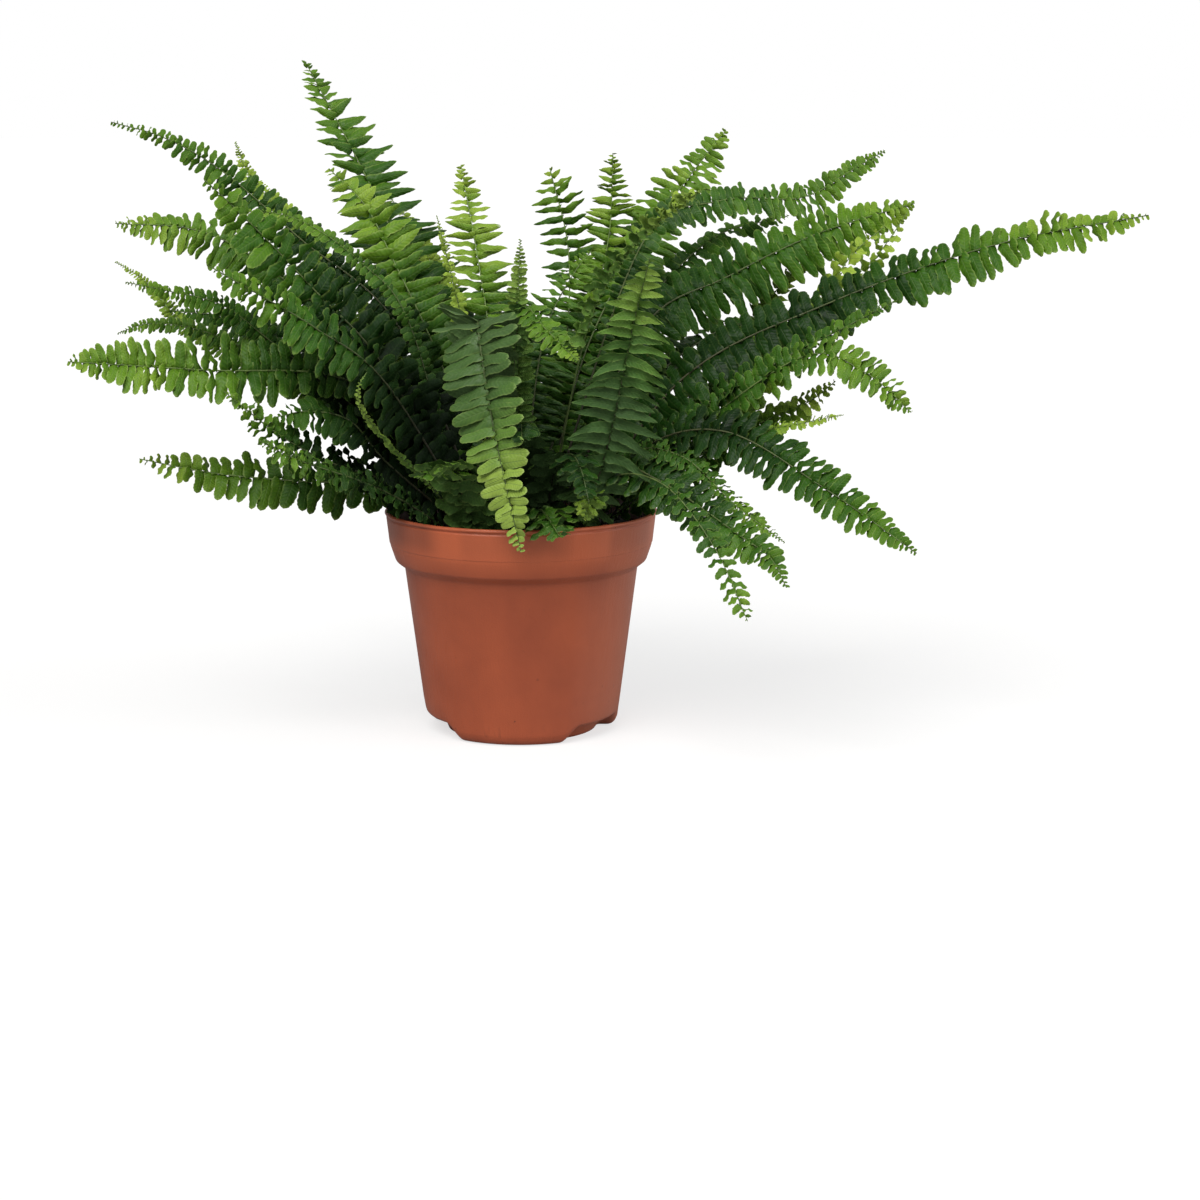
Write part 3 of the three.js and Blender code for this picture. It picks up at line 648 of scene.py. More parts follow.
    def _shadowed(self, w: Wiring, turn: object, height: object,
                 scuff_and_shadow: tuple[float, float, float, float]) -> bpy.types.NodeSocket:
        """How far one painted shadow covers the wall.

        Args:
            w: The material's wiring.
            turn: Bearing of the place on the wall, in degrees.
            height: Its height, in metres.
            scuff_and_shadow: The painted shadow's row in painted_shadows.

        Returns:
            Its share of the colour.
        """
        first, last, lowest, share = scuff_and_shadow
        start, end = self.shadow_starts_over, self.shadow_ends_over
        under, over = (lowest + reach for reach in self.shadow_foot)
        return w.times(w.span(turn, first - start, first + start, 0.0, share, eased=True),
                       w.span(turn, last - end, last + end, 1.0, 0.0, eased=True),
                       w.span(height, under, over, 0.0, 1.0, eased=True))


@dataclass(frozen=True)
class SoilFinish:
    """Moist peat, nearly black, with brown fibres."""

    dark: Colour = linear(20, 16, 13)
    brown: Colour = linear(62, 46, 34)
    patches: float = 220.0
    specks: float = 1500.0
    browning: Span = (0.4, 0.75, 0.0, 0.8)
    roughness: tuple[float, float] = (0.75, 0.95)
    relief: float = 0.0006

    def material(self) -> bpy.types.Material:
        """Builds the material.

        Returns:
            The material.
        """
        surface = Surface("potting soil")
        w = surface.wiring
        blotches = Blotches.add_to(w, self.patches, self.specks).outputs
        colour = w.mix(w.span(blotches["Patches"], *self.browning), self.dark, self.brown)
        rough = w.span(blotches["Specks"], NOISE_LOW, NOISE_HIGH, *self.roughness)
        return surface.finished(colour, rough, blotches["Specks"], self.relief)


@dataclass(frozen=True)
class LeafletShape:
    """Outline and relief of a kind of leaflet, in shares of its length along X and of its width along Y."""

    rows: int = 7
    tip_rows: float = 1.6
    base: float = 0.8
    shoulder: float = 0.15
    narrowing: float = 0.14
    bluntness: float = 5.5
    point: float = 0.5
    lean: float = 0.12
    ear: float = 0.05
    tooth: float = 0.05
    cup: float = -0.07
    wave: float = 0.09
    arch: float = 0.1
    thickness: float = 0.02
    groove: float = 0.015

    COLUMNS = (-1.0, -0.5, 0.0, 0.5, 1.0)
    WAVES = 1.6
    UNEVENNESS = (0.6, 1.3)
    # Just short of the tip, where the outline has no width left
    NEAR_TIP = 0.999

    def half_width(self, reach: float) -> float:
        """Half the width at a share of the length."""
        rise = self.base + (1 - self.base) * smooth(reach, 0.0, self.shoulder)
        return 0.5 * rise * (1 - self.narrowing * reach) * (1 - reach**self.bluntness) ** self.point

    def mesh(self, name: str, variant: int, forward: int) -> bpy.types.Mesh:
        """A closed leaflet from its foot at the origin to its tip at X = 1.

        Args:
            name: Name of the mesh.
            variant: Shifts the waves of the margin, so that variants differ.
            forward: 1 or -1, the side of Y that faces the frond's tip.

        Returns:
            The mesh, with its UV map, its sharp margin and the attributes reach, blade and under.
        """
        rng = np.random.default_rng(71 + 13 * variant)
        phase = rng.uniform(0, 1, 2)
        strength = rng.uniform(*self.UNEVENNESS)
        reaches = [1 - (1 - i / self.rows) ** self.tip_rows for i in range(self.rows + 1)]
        points: list[tuple[float, float, float]] = []
        uvs: list[tuple[float, float]] = []

        def put(reach: float, side: float, lift: float, swell: float = 1.0) -> int:
            """Adds one point.

            Args:
                reach: Its share of the length.
                side: -1 to 1 across the width.
                lift: Its height over the leaflet's middle.
                swell: Widens the outline there.

            Returns:
                The point's number.
            """
            half = self.half_width(min(reach, self.NEAR_TIP)) * swell
            facing = max(0.0, side)
            y = side * half + self.lean * reach**2
            y += facing * self.ear * 2 * (1 - smooth(reach, 0.0, 0.2))
            x = reach - facing * self.ear * (1 - smooth(reach, 0.0, 0.15))
            turn = self.WAVES * reach + phase[int(side > 0)]
            z = self.cup * (abs(side) ** 1.5) * half * 2 * strength
            z += self.wave * strength * math.sin(2 * math.pi * turn) * side**2 * (1 - reach**3)
            z -= self.arch * reach**2 * strength
            z -= self.groove if side == 0.0 else 0.0
            points.append((x, y * forward, z + lift))
            uvs.append((reach, 0.5 + 0.5 * side))
            return len(points) - 1

        half_thick = self.thickness / 2
        top, low, teeth = [], [], []
        for reach in reaches[:-1]:
            edges = put(reach, -1.0, 0.0, 1 - self.tooth), put(reach, 1.0, 0.0, 1 - self.tooth)
            upper = [put(reach, side, half_thick) for side in self.COLUMNS[1:-1]]
            lower = [put(reach, side, -half_thick) for side in self.COLUMNS[1:-1]]
            top.append([edges[0], *upper, edges[1]])
            low.append([edges[0], *lower, edges[1]])
        for near, far in zip(reaches[:-2], reaches[1:-1]):
            middle = (near + far) / 2
            teeth.append((put(middle, -1.0, 0.0, 1 + self.tooth), put(middle, 1.0, 0.0, 1 + self.tooth)))
        tip = put(1.0, 0.0, 0.0)

        def skin(rows: list[list[int]]) -> list[tuple[int, ...]]:
            """Faces of the upper skin.

            Args:
                rows: The numbers of the points in each row across.

            Returns:
                The points of each face, by number.
            """
            faces: list[tuple[int, ...]] = []
            for (a, b), (left, right) in zip(zip(rows[:-1], rows[1:]), teeth):
                faces += [(a[0], left, a[1]), (left, b[1], a[1]), (left, b[0], b[1])]
                faces += [(a[j], b[j], b[j + 1], a[j + 1]) for j in (1, 2)]
                faces += [(a[3], right, a[4]), (a[3], b[3], right), (b[3], b[4], right)]
            last = rows[-1]
            return faces + [(last[j], tip, last[j + 1]) for j in range(4)]

        upper_faces = skin(top)
        lower_faces = [face[::-1] for face in skin(low)]
        foot = (*top[0], *low[0][-2:0:-1])
        faces = [*upper_faces, *lower_faces, foot]
        if forward < 0:
            faces = [face[::-1] for face in faces]
        mesh = bpy.data.meshes.new(name)
        mesh.from_pydata(points, [], faces)
        mesh.shade_smooth()
        layer = mesh.uv_layers.new(name="UVMap")
        for loop in mesh.loops:
            layer.data[loop.index].uv = uvs[loop.vertex_index]
        rim = {row[0] for row in top} | {row[4] for row in top} | {k for pair in teeth for k in pair} | {tip}
        sharp = mesh.attributes.new("sharp_edge", "BOOLEAN", "EDGE")
        sharp.data.foreach_set("value", [set(edge.vertices) <= rim for edge in mesh.edges])
        self._store(mesh, "reach", "POINT", [uv[0] for uv in uvs])
        self._store(mesh, "blade", "FACE", [1.0] * len(faces))
        self._store(mesh, "under", "FACE", [float(k >= len(upper_faces)) for k in range(len(faces))])
        return mesh

    @staticmethod
    def _store(mesh: bpy.types.Mesh, name: str, domain: str, values: list[float]) -> None:
        """Stores one number for each point or face."""
        mesh.attributes.new(name, "FLOAT", domain).data.foreach_set("value", values)


class Form(Enum):
    """The kinds of leaflet that the fronds carry."""

    OBLONG = LeafletShape()
    POINTED = LeafletShape(base=0.9, shoulder=0.1, narrowing=0.25, bluntness=2.6, point=0.7, lean=0.25,
                           wave=0.05)
    ARCHED = LeafletShape(base=0.9, shoulder=0.1, narrowing=0.25, bluntness=2.8, point=0.7, lean=0.6,
                          arch=0.16)
    ROUND = LeafletShape(base=0.85, narrowing=0.03, bluntness=6, lean=0.05, tooth=0.03, wave=0.035,
                         cup=-0.04, arch=0.05, groove=0.035)
    RAGGED = LeafletShape(rows=5, base=0.6, bluntness=4.5, lean=0.25, tooth=0.08, wave=0.15)
    SMALL = LeafletShape(rows=4, base=0.7, bluntness=4.5, lean=0.2, tooth=0.08, thickness=0.035)


class LeafletStock:
    """One collection of leaflet meshes for each form, left and right by turns, which the fronds copy."""

    VARIANTS = 4

    def __init__(self) -> None:
        """Builds every form's leaflets."""
        self.collections = {form: self._collection(form) for form in Form}

    def _collection(self, form: Form) -> bpy.types.Collection:
        """The leaflets of one form.

        Args:
            form: The form.

        Returns:
            Its variants, each followed by its mirrored twin.
        """
        collection = bpy.data.collections.new(f"leaflets {form.name.lower()}")
        for variant in range(self.VARIANTS):
            for letter, forward in (("a", -1), ("b", 1)):
                name = f"{form.name.lower()} {variant} {letter}"
                mesh = form.value.mesh(name, variant, forward)
                collection.objects.link(bpy.data.objects.new(name, mesh))
        return collection

    def discard(self) -> None:
        """Removes the leaflets once every frond has its copies."""
        for collection in self.collections.values():
            for leaflet in list(collection.objects):
                bpy.data.meshes.remove(leaflet.data)
            bpy.data.collections.remove(collection)


@dataclass(frozen=True)
class FrondPlan:
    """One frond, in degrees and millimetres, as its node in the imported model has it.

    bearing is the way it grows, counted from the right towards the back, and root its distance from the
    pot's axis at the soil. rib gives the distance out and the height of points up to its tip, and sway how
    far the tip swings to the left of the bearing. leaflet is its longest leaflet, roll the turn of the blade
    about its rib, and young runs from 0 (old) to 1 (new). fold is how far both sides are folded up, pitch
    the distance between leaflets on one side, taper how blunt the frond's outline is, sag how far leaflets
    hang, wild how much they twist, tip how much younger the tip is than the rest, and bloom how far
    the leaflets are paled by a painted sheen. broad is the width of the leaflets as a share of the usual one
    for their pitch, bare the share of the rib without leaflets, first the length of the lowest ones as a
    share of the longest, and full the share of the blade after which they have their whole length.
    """

    name: str
    bearing: float
    root: float
    rib: tuple[tuple[float, float], ...]
    leaflet: float
    roll: float
    young: float
    sway: float = 0.0
    fold: float | None = None
    form: Form = Form.OBLONG
    pitch: float | None = None
    broad: float = 1.0
    taper: float = 4.5
    bare: float = 0.07
    first: float = 0.5
    full: float = 0.3
    sag: float = 0.12
    wild: float = 0.42
    tip: float = 0.35
    bloom: float = 0.0

    SOIL_TOP = 105.0
    STIPE_BEND = 3.0
    SUNK = 6.0
    STEPS = 56
    TURN_SHARE = 0.14
    CLOSEST = 3.0
    SPACING_SHARE = 0.37
    NEW_FOLD = 12
    OLD_BELOW = 0.22
    GREEN_BELOW = 0.55
    STEPS_BETWEEN_KNOTS = 40

    def spacing(self) -> float:
        """Distance between neighbours on one side of the rib, in metres."""
        return (self.pitch or max(self.CLOSEST, self.SPACING_SHARE * self.leaflet)) * MM

    def usual_fold(self) -> float:
        """Fold of both sides, in radians. Old blades hang a little and new ones are raised."""
        degrees = self.fold if self.fold is not None else self.NEW_FOLD * self.young
        return math.radians(degrees)

    def slot(self) -> str:
        """The record's material slot.

        Returns:
            The slot's name.
        """
        if self.young < self.OLD_BELOW:
            return "frond_old"
        return "frond_green" if self.young < self.GREEN_BELOW else "frond_young"

    def rib_line(self) -> tuple[np.ndarray, np.ndarray]:
        """The rib's line, in metres.

        Returns:
            Points from under the soil to the tip, and the way the blade faces at each.
        """
        angle = math.radians(self.bearing)
        out = np.array([math.cos(angle), math.sin(angle), 0.0])
        across = np.array([-out[1], out[0], 0.0])
        stops = ((self.root, self.SOIL_TOP + self.STIPE_BEND), *self.rib)
        knots = []
        for k, (reach, height) in enumerate(stops):
            swing = self.sway * (k / (len(stops) - 1)) ** 2
            knots.append(out * reach + across * swing + (0, 0, height))
        curve = self._through(np.array(knots))
        curve[0, 2] = self.SOIL_TOP - self.SUNK
        tangents = np.gradient(curve, axis=0)
        tangents /= np.linalg.norm(tangents, axis=1)[:, None]
        sides = across - (tangents @ across)[:, None] * tangents
        sides /= np.linalg.norm(sides, axis=1)[:, None]
        faces = np.cross(tangents, sides)
        shares = np.linspace(0, 1, len(curve))
        turns = np.array([math.radians(self.roll) * smooth(s, 0.0, self.TURN_SHARE) for s in shares])
        turned = faces * np.cos(turns)[:, None] + np.cross(tangents, faces) * np.sin(turns)[:, None]
        return curve * MM, turned

    def _through(self, knots: np.ndarray) -> np.ndarray:
        """A smooth line through the knots.

        Args:
            knots: The knots.

        Returns:
            Points on the line, in steps of even length.
        """
        padded = np.vstack([2 * knots[0] - knots[1], knots, 2 * knots[-1] - knots[-2]])
        fine = []
        for a, b, c, d in zip(padded, padded[1:], padded[2:], padded[3:]):
            for t in np.linspace(0, 1, self.STEPS_BETWEEN_KNOTS, endpoint=False):
                low, high = (c - a) / 2, (d - b) / 2
                fine.append(b + low * t + (3 * (c - b) - 2 * low - high) * t**2
                            + (2 * (b - c) + low + high) * t**3)
        line = np.array([*fine, knots[-1]])
        along = np.concatenate([[0], np.cumsum(np.linalg.norm(np.diff(line, axis=0), axis=1))])
        even = np.linspace(0, along[-1], self.STEPS)
        return np.stack([np.interp(even, along, line[:, k]) for k in range(3)], axis=1)


# A short name for the rows of the table
F = FrondPlan
FRONDS = (
    F("left_01", 165, 20, ((65, 206), (118, 250), (160, 284), (192, 301), (222, 309)), 16, -62, 0.15,
      taper=2.8, wild=0.5, pitch=5.6, broad=0.85, tip=0.5),
    F("left_02", 150, 25, ((82, 190), (111, 222), (140, 256), (167, 278), (178, 298)), 8, -40, 0.7, taper=8,
      form=Form.RAGGED),
    F("left_03", 200, 26, ((72, 190), (106, 228), (139, 263), (160, 283)), 23, -70, 0.12, taper=5,
      tip=0.52, pitch=8, wild=0.55),
    F("left_04", 178, 30, ((56, 208), (81, 240), (114, 262), (149, 266)), 7, -35, 0.4, taper=6, pitch=4,
      form=Form.SMALL),
    F("left_05", 188, 35, ((78, 193), (126, 238), (160, 257), (201, 261)), 17, -58, 0.24, taper=7, fold=-8,
      tip=0.55, pitch=5.2),
    F("left_06", 170, 42, ((75, 153), (120, 175), (148, 189), (180, 208), (196, 226), (214, 238)), 8, -50,
      0.6, form=Form.SMALL),
    F("left_07", 192, 42, ((80, 163), (127, 203), (150, 221), (175, 228), (197, 233)), 10, -50, 0.1, taper=5,
      pitch=4, tip=0.6),
    F("left_08", 183, 40, ((90, 167), (130, 192), (160, 206), (186, 210), (203, 205)), 8, -48, 0.3, taper=7,
      pitch=3.4, form=Form.SMALL),
    F("left_09", 196, 37, ((58, 150), (92, 184), (160, 190), (227, 196)), 18, -62, 0.42, taper=9, fold=16,
      pitch=6, sag=0.02, full=0.6),
    F("left_10", 208, 27, ((75, 183), (111, 211), (141, 229), (165, 243)), 19, -58, 0.2, taper=5, pitch=6,
      tip=0.45),
    F("left_11", 173, 36, ((85, 172), (140, 207), (182, 214)), 14, -52, 0.05, pitch=5),
    F("left_12", 187, 46, ((66, 127), (110, 130), (155, 135), (193, 143)), 16, -62, 0.5, taper=4, first=0.9,
      fold=4, pitch=7.2, wild=0.52),
    F("left_13", 205, 42, ((70, 131), (103, 144), (129, 159), (157, 182)), 13, -60, 0.15, form=Form.RAGGED,
      wild=0.7, tip=0.6),
    F("left_14", 214, 46, ((70, 124), (94, 136), (128, 149), (149, 160)), 10, -50, 0.35, form=Form.RAGGED,
      wild=0.8, taper=8),
    F("middle_01", 130, 14, ((68, 191), (105, 244), (140, 287), (189, 340)), 30, -5, 0.3, taper=3.6,
      fold=15, pitch=6.5, form=Form.POINTED),
    F("middle_02", 150, 15, ((49, 188), (78, 240), (94, 266), (117, 285)), 24, -42, 0.48, taper=5,
      form=Form.POINTED, pitch=7),
    F("middle_03", 120, 18, ((60, 189), (112, 245), (148, 266)), 8, -20, 0.8, form=Form.SMALL),
    F("middle_04", 111, 8, ((40, 181), (62, 229), (94, 286)), 22, 0, 0.6, taper=4, fold=14,
      form=Form.POINTED, pitch=6, broad=0.85),
    F("middle_05", 148, 7, ((25, 172), (38, 217), (51, 262)), 8, 0, 0.8, form=Form.SMALL),
    F("middle_06", 268, 10, ((26, 175), (37, 218), (42, 254)), 9, 0, 0.6, sway=3, form=Form.SMALL),
    F("middle_07", 57, 18, ((45, 188), (62, 241), (66, 285)), 17, 10, 0.52, sway=26, form=Form.ARCHED,
      pitch=6.5, broad=0.62, bare=0.7, first=0.9, taper=5),
    F("middle_08", 52, 8, ((44, 183), (72, 244), (77, 293)), 20, 16, 0.5, taper=6, form=Form.POINTED,
      pitch=5, broad=0.85),
    F("middle_09", 50, 1, ((12, 178), (23, 210), (43, 233), (56, 243)), 18, 25, 0.3, form=Form.ARCHED,
      fold=10, pitch=5.5, broad=0.65, sag=0.25, taper=6),
    F("middle_10", 262, 19, ((34, 190), (50, 221), (68, 213), (84, 199)), 9, 0, 0.5, sway=42, taper=6,
      pitch=3.6, bare=0.55, tip=0.25),
    F("middle_11", 305, 42, ((70, 140), (88, 184), (99, 217), (112, 248)), 23, -28, 0.2, taper=4.5,
      form=Form.POINTED, pitch=6.5, broad=0.85, sag=0.4, tip=0.65),
    F("middle_12", 236, 22, ((35, 180), (45, 210), (60, 211), (68, 168), (70, 106)), 23, 0, 0.32, sway=50,
      taper=3.8, pitch=6.2, sag=0, wild=0.26, tip=0.85, bare=0.3, first=0.9, fold=10, form=Form.ROUND,
      bloom=0.15, broad=0.97),
    F("middle_13", 308, 50, ((62, 122), (72, 129), (84, 121)), 9, 0, 0.6, sway=-24, form=Form.RAGGED,
      wild=0.8),
    F("middle_14", 279, 44, ((60, 122), (70, 121), (83, 113)), 16, 0, 0.38, sway=8, form=Form.RAGGED,
      pitch=4, taper=8, tip=0.1),
    F("middle_15", 222, 36, ((60, 132), (86, 156), (101, 173), (103, 184), (98, 191)), 4, 0, 0.75,
      form=Form.SMALL, bare=0.3),
    F("middle_16", 238, 40, ((59, 137), (72, 143), (90, 141)), 18, 0, 0.5, first=0.9, pitch=7, tip=0.1),
    F("right_01", 355, 30, ((83, 182), (155, 220), (238, 250), (313, 265)), 18, 50, 0.15, taper=7, fold=2,
      tip=0.65, wild=0.35),
    F("right_02", 20, 14, ((65, 246), (108, 269), (155, 270), (182, 283), (203, 294)), 13, 54, 0.3, taper=8,
      first=0.2, full=0.9, fold=2),
    F("right_03", 10, 22, ((62, 204), (109, 232), (155, 253), (206, 268)), 20, 56, 0.2, taper=9, fold=-12,
      tip=0.55, wild=0.32, pitch=5.2, broad=1.15),
    F("right_04", 5, 38, ((95, 176), (144, 208), (170, 226), (188, 249), (198, 264)), 12, 40, 0.55, taper=7,
      form=Form.RAGGED, pitch=9, wild=0.6),
    F("right_05", 0, 44, ((95, 159), (143, 201), (165, 240), (184, 258)), 14, 40, 0.65, taper=6,
      form=Form.RAGGED, pitch=9),
    F("right_06", 14, 36, ((80, 160), (120, 203), (143, 231), (163, 241)), 14, 35, 0.5, form=Form.ARCHED),
    F("right_07", 345, 34, ((80, 158), (130, 191), (165, 210), (193, 225)), 15, 30, 0.25, fold=18),
    F("right_08", 340, 36, ((85, 152), (148, 197), (180, 191), (204, 172)), 14, 50, 0.38, taper=9, fold=15),
    F("right_09", 336, 44, ((90, 140), (131, 160), (157, 167), (174, 171)), 5, 30, 0.6, taper=12,
      form=Form.SMALL),
    F("right_10", 349, 44, ((93, 144), (121, 160), (147, 172), (161, 183)), 15, 50, 0.4, form=Form.RAGGED,
      pitch=6, tip=0.6),
    F("right_11", 331, 40, ((72, 150), (117, 161), (170, 137), (219, 109)), 17, 48, 0.12, fold=12,
      pitch=5.6, wild=0.3, tip=0.5),
    F("right_12", 317, 38, ((60, 142), (95, 138), (146, 117), (166, 108), (176, 95)), 15, 42, 0.25, taper=4,
      fold=14, pitch=5, broad=1.15, bare=0.2, first=0.8, wild=0.3),
    F("right_13", 324, 44, ((68, 147), (100, 149), (131, 128), (160, 112)), 9, 34, 0.4, form=Form.RAGGED,
      wild=0.5, pitch=3.6),
    F("right_14", 311, 46, ((72, 138), (110, 138), (145, 112), (168, 80)), 8, 30, 0.42, form=Form.RAGGED,
      pitch=6.5, broad=0.65, taper=9, wild=0.4, bare=0.5, first=0.8),
    F("right_15", 43, 15, ((45, 191), (87, 249), (117, 277), (148, 304)), 22, 30, 0.4, taper=6, pitch=6,
      broad=0.8),
    F("right_16", 340, 14, ((35, 203), (52, 238), (75, 262), (96, 277)), 15, 10, 0.65, fold=32, wild=0.6,
      form=Form.RAGGED, pitch=5, taper=12, bare=0.5, first=0.9),
    F("right_17", 55, 27, ((60, 199), (95, 244), (125, 265)), 16, 15, 0.05, form=Form.POINTED),
    F("right_18", 27, 22, ((60, 198), (108, 247), (158, 260)), 16, 25, 0.2),
    F("front_01", 246, 38, ((54, 134), (70, 146), (92, 146)), 17, 10, 0.46, first=0.9, pitch=7, tip=0.15),
    F("front_02", 272, 30, ((48, 150), (70, 166), (90, 160)), 16, 0, 0.08, tip=0.1),
    F("front_03", 292, 32, ((50, 142), (70, 151), (84, 145), (94, 131)), 15, 0, 0.1, tip=0.1),
    F("front_04", 205, 34, ((73, 142), (92, 164), (113, 170), (131, 168)), 17, -45, 0.15),
    F("back_01", 86, 40, ((80, 168), (140, 196), (205, 176)), 18, 0, 0.2),
    F("back_02", 98, 24, ((65, 188), (120, 214), (190, 204)), 18, 0, 0.3),
    F("back_03", 118, 40, ((80, 163), (135, 180), (185, 150)), 17, 0, 0.15),
    F("back_04", 122, 30, ((75, 190), (125, 232), (172, 262)), 22, -10, 0.1, taper=6),
    F("back_05", 152, 42, ((75, 158), (120, 178), (165, 176)), 16, -20, 0.25),
    F("back_06", 38, 36, ((78, 166), (113, 190), (148, 201), (190, 196)), 18, 25, 0.2),
)


class FrondGrowth:
    """The node tree that sets leaflets by turns along a rib line and gives the rib its body."""

    CROWDING = 1.25
    WIDTH_TO_PITCH = 1.26
    FIRST_SWEEP = math.radians(2)
    LAST_SWEEP = math.radians(14)
    SHINGLE = 0.22
    RIB_SIDES = 7
    RIB_RINGS = 46
    LENGTHS = (0.82, 1.12)
    BREADTHS = (0.88, 1.12)
    FOLDS = (-0.6, 0.6)
    SWEEPS = (-0.4, 0.4)
    TWISTS = (-1.0, 1.0)
    SAGS = (0.5, 1.5)
    FADE_POWER = 0.8
    SHORTEST_SHARE = 0.12
    SLIMMING_POWER = 0.2
    LAST_LEFT = 0.02
    BROADEST_TO_LENGTH = 0.7
    SWEEP_POWER = 2.5
    UNTIDY_TIP: Span = (0.5, 1.0, 1.0, 2.6)
    YOUNG_TIP: Span = (0.4, 1.0, 0.0, 1.0)
    LOW_RIB: Span = (0.04, 0.35, 1.0, 0.6)
    HIGH_RIB: Span = (0.35, 1.0, 1.0, 0.5)

    def __init__(self) -> None:
        """Builds the tree once, for every frond."""
        tree = bpy.data.node_groups.new("frond growth", "GeometryNodeTree")
        self.inputs = TreeInputs(tree)
        self.inputs.declare("Collection", "Leaflets")
        self.inputs.declare("Float", "Pitch", "Length", "Width", "Bare Share", "First", "Full Share",
                            "Taper", "Fold", "Sag", "Wild", "Young", "Tip Young", "Bloom", "Rib Radius")
        self.inputs.declare("Int", "Seed")
        self.inputs.declare("Material", "Blade Finish", "Rib Finish")
        self._build(Wiring(tree))

    def _build(self, w: Wiring) -> None:
        """Wires the tree. Each random draw has a seed by its turn, so their order is kept.

        Args:
            w: The tree's wiring.
        """
        source = w.add("NodeGroupInput").outputs
        line = w.add("GeometryNodeMeshToCurve", source["Geometry"])
        clothed = w.math("SUBTRACT", 1.0, source["Bare Share"])
        blade = w.times(w.add("GeometryNodeCurveLength", line), clothed)
        count = w.math("FLOOR", w.math("DIVIDE", w.times(blade, 2 * self.CROWDING), source["Pitch"]))
        seats = w.add("GeometryNodePoints", count)
        index = w.add("GeometryNodeInputIndex")
        order = w.math("DIVIDE", index, count)
        left = w.math("POWER", w.math("SUBTRACT", 1.0, order), self.CROWDING)
        along = w.math("SUBTRACT", 1.0, left)
        share = w.add("ShaderNodeMix", along, source["Bare Share"], 1.0)
        at = w.add("GeometryNodeSampleCurve", line, self._named(w, "rib_face", "FLOAT_VECTOR"), share,
                   data_type="FLOAT_VECTOR", use_all_curves=True)
        face, tangent = at.outputs[0], at.outputs["Tangent"]
        parity = w.math("MODULO", index, 2.0)
        hand = w.math("SUBTRACT", 1.0, w.times(parity, 2.0))
        side = w.scaled(w.vector("CROSS_PRODUCT", face, tangent), hand)

        chance = self._chance(w, source["Seed"])
        growth = w.span(along, 0.0, source["Full Share"], source["First"], 1.0, eased=True)
        fade = w.math("SUBTRACT", 1.0, w.math("POWER", along, source["Taper"]))
        fade = w.math("POWER", fade, self.FADE_POWER)
        taper = w.times(growth, w.math("MAXIMUM", fade, self.SHORTEST_SHARE))
        length = w.times(source["Length"], taper, chance(*self.LENGTHS))
        slimming = w.math("POWER", w.math("MAXIMUM", left, self.LAST_LEFT), self.SLIMMING_POWER)
        broadest = w.times(length, self.BROADEST_TO_LENGTH)
        breadth = w.math("MINIMUM", w.times(source["Width"], slimming), broadest)
        breadth = w.times(breadth, chance(*self.BREADTHS))

        fold = w.plus(source["Fold"], w.times(chance(*self.FOLDS), source["Wild"]))
        sweep = w.span(w.math("POWER", along, self.SWEEP_POWER), 0.0, 1.0, self.FIRST_SWEEP, self.LAST_SWEEP)
        sweep = w.plus(sweep, w.times(chance(*self.SWEEPS), source["Wild"]))
        reach = self._blend(w, side, face, fold)
        aim = self._blend(w, reach, tangent, sweep)
        normal = self._blend(w, face, side, w.times(fold, -1.0))
        turn = w.add("FunctionNodeAxesToRotation", aim, normal, primary_axis="X", secondary_axis="Z")
        untidy = w.times(source["Wild"], w.span(along, *self.UNTIDY_TIP))
        twist = w.math("SUBTRACT", w.times(chance(*self.TWISTS), untidy), w.times(hand, self.SHINGLE))
        twist = w.add("ShaderNodeCombineXYZ", twist, 0.0, 0.0)
        turn = w.add("FunctionNodeRotateRotation", turn, w.add("FunctionNodeEulerToRotation", twist),
                     rotation_space="LOCAL")

        newer = w.times(source["Tip Young"], w.span(along, *self.YOUNG_TIP, eased=True))
        age = w.plus(source["Young"], newer)
        sag = w.times(source["Sag"], length, chance(*self.SAGS))
        tint = chance(0.0, 1.0)
        for name, value in (("age", age), ("sag", sag), ("tint", tint), ("bloom", source["Bloom"])):
            seats = self._store(w, seats, name, value)
        seats = w.add("GeometryNodeSetPosition", seats, None, at.outputs["Position"])
        variant = w.math("FLOOR", chance(0.0, LeafletStock.VARIANTS))
        pick = w.plus(parity, w.times(variant, 2.0))
        stock = w.add("GeometryNodeCollectionInfo", source["Leaflets"], True, True)
        leaflets = w.add("GeometryNodeInstanceOnPoints", seats, None, stock, True, pick, turn,
                         w.add("ShaderNodeCombineXYZ", length, breadth, length))

        rail = w.add("GeometryNodeResampleCurve", line, None, self.RIB_RINGS)
        place = w.add("GeometryNodeSplineParameter").outputs["Factor"]
        rail = self._store(w, rail, "along", place)
        rail = self._store(w, rail, "age", source["Young"])
        ring = w.add("GeometryNodeCurvePrimitiveCircle", self.RIB_SIDES, 1.0)
        thick = w.times(source["Rib Radius"], w.span(place, *self.LOW_RIB), w.span(place, *self.HIGH_RIB))
        rib = w.add("GeometryNodeCurveToMesh", rail, ring, thick, True)

        whole = w.add("GeometryNodeRealizeInstances", w.joined(rib, leaflets))
        out = self._named(w, "reach")
        drop = w.add("ShaderNodeCombineXYZ", 0.0, 0.0, w.times(out, out, self._named(w, "sag"), -1.0))
        whole = w.add("GeometryNodeSetPosition", whole, None, None, drop)
        whole = w.add("GeometryNodeSetMaterial", whole, None, source["Rib Finish"])
        whole = w.add("GeometryNodeSetMaterial", whole, self._named(w, "blade"), source["Blade Finish"])
        w.add("NodeGroupOutput", whole)

    @staticmethod
    def _named(w: Wiring, name: str, kind: str = "FLOAT") -> bpy.types.NodeSocket:
        """Reads a named attribute."""
        return w.add("GeometryNodeInputNamedAttribute", name, data_type=kind).outputs[0]

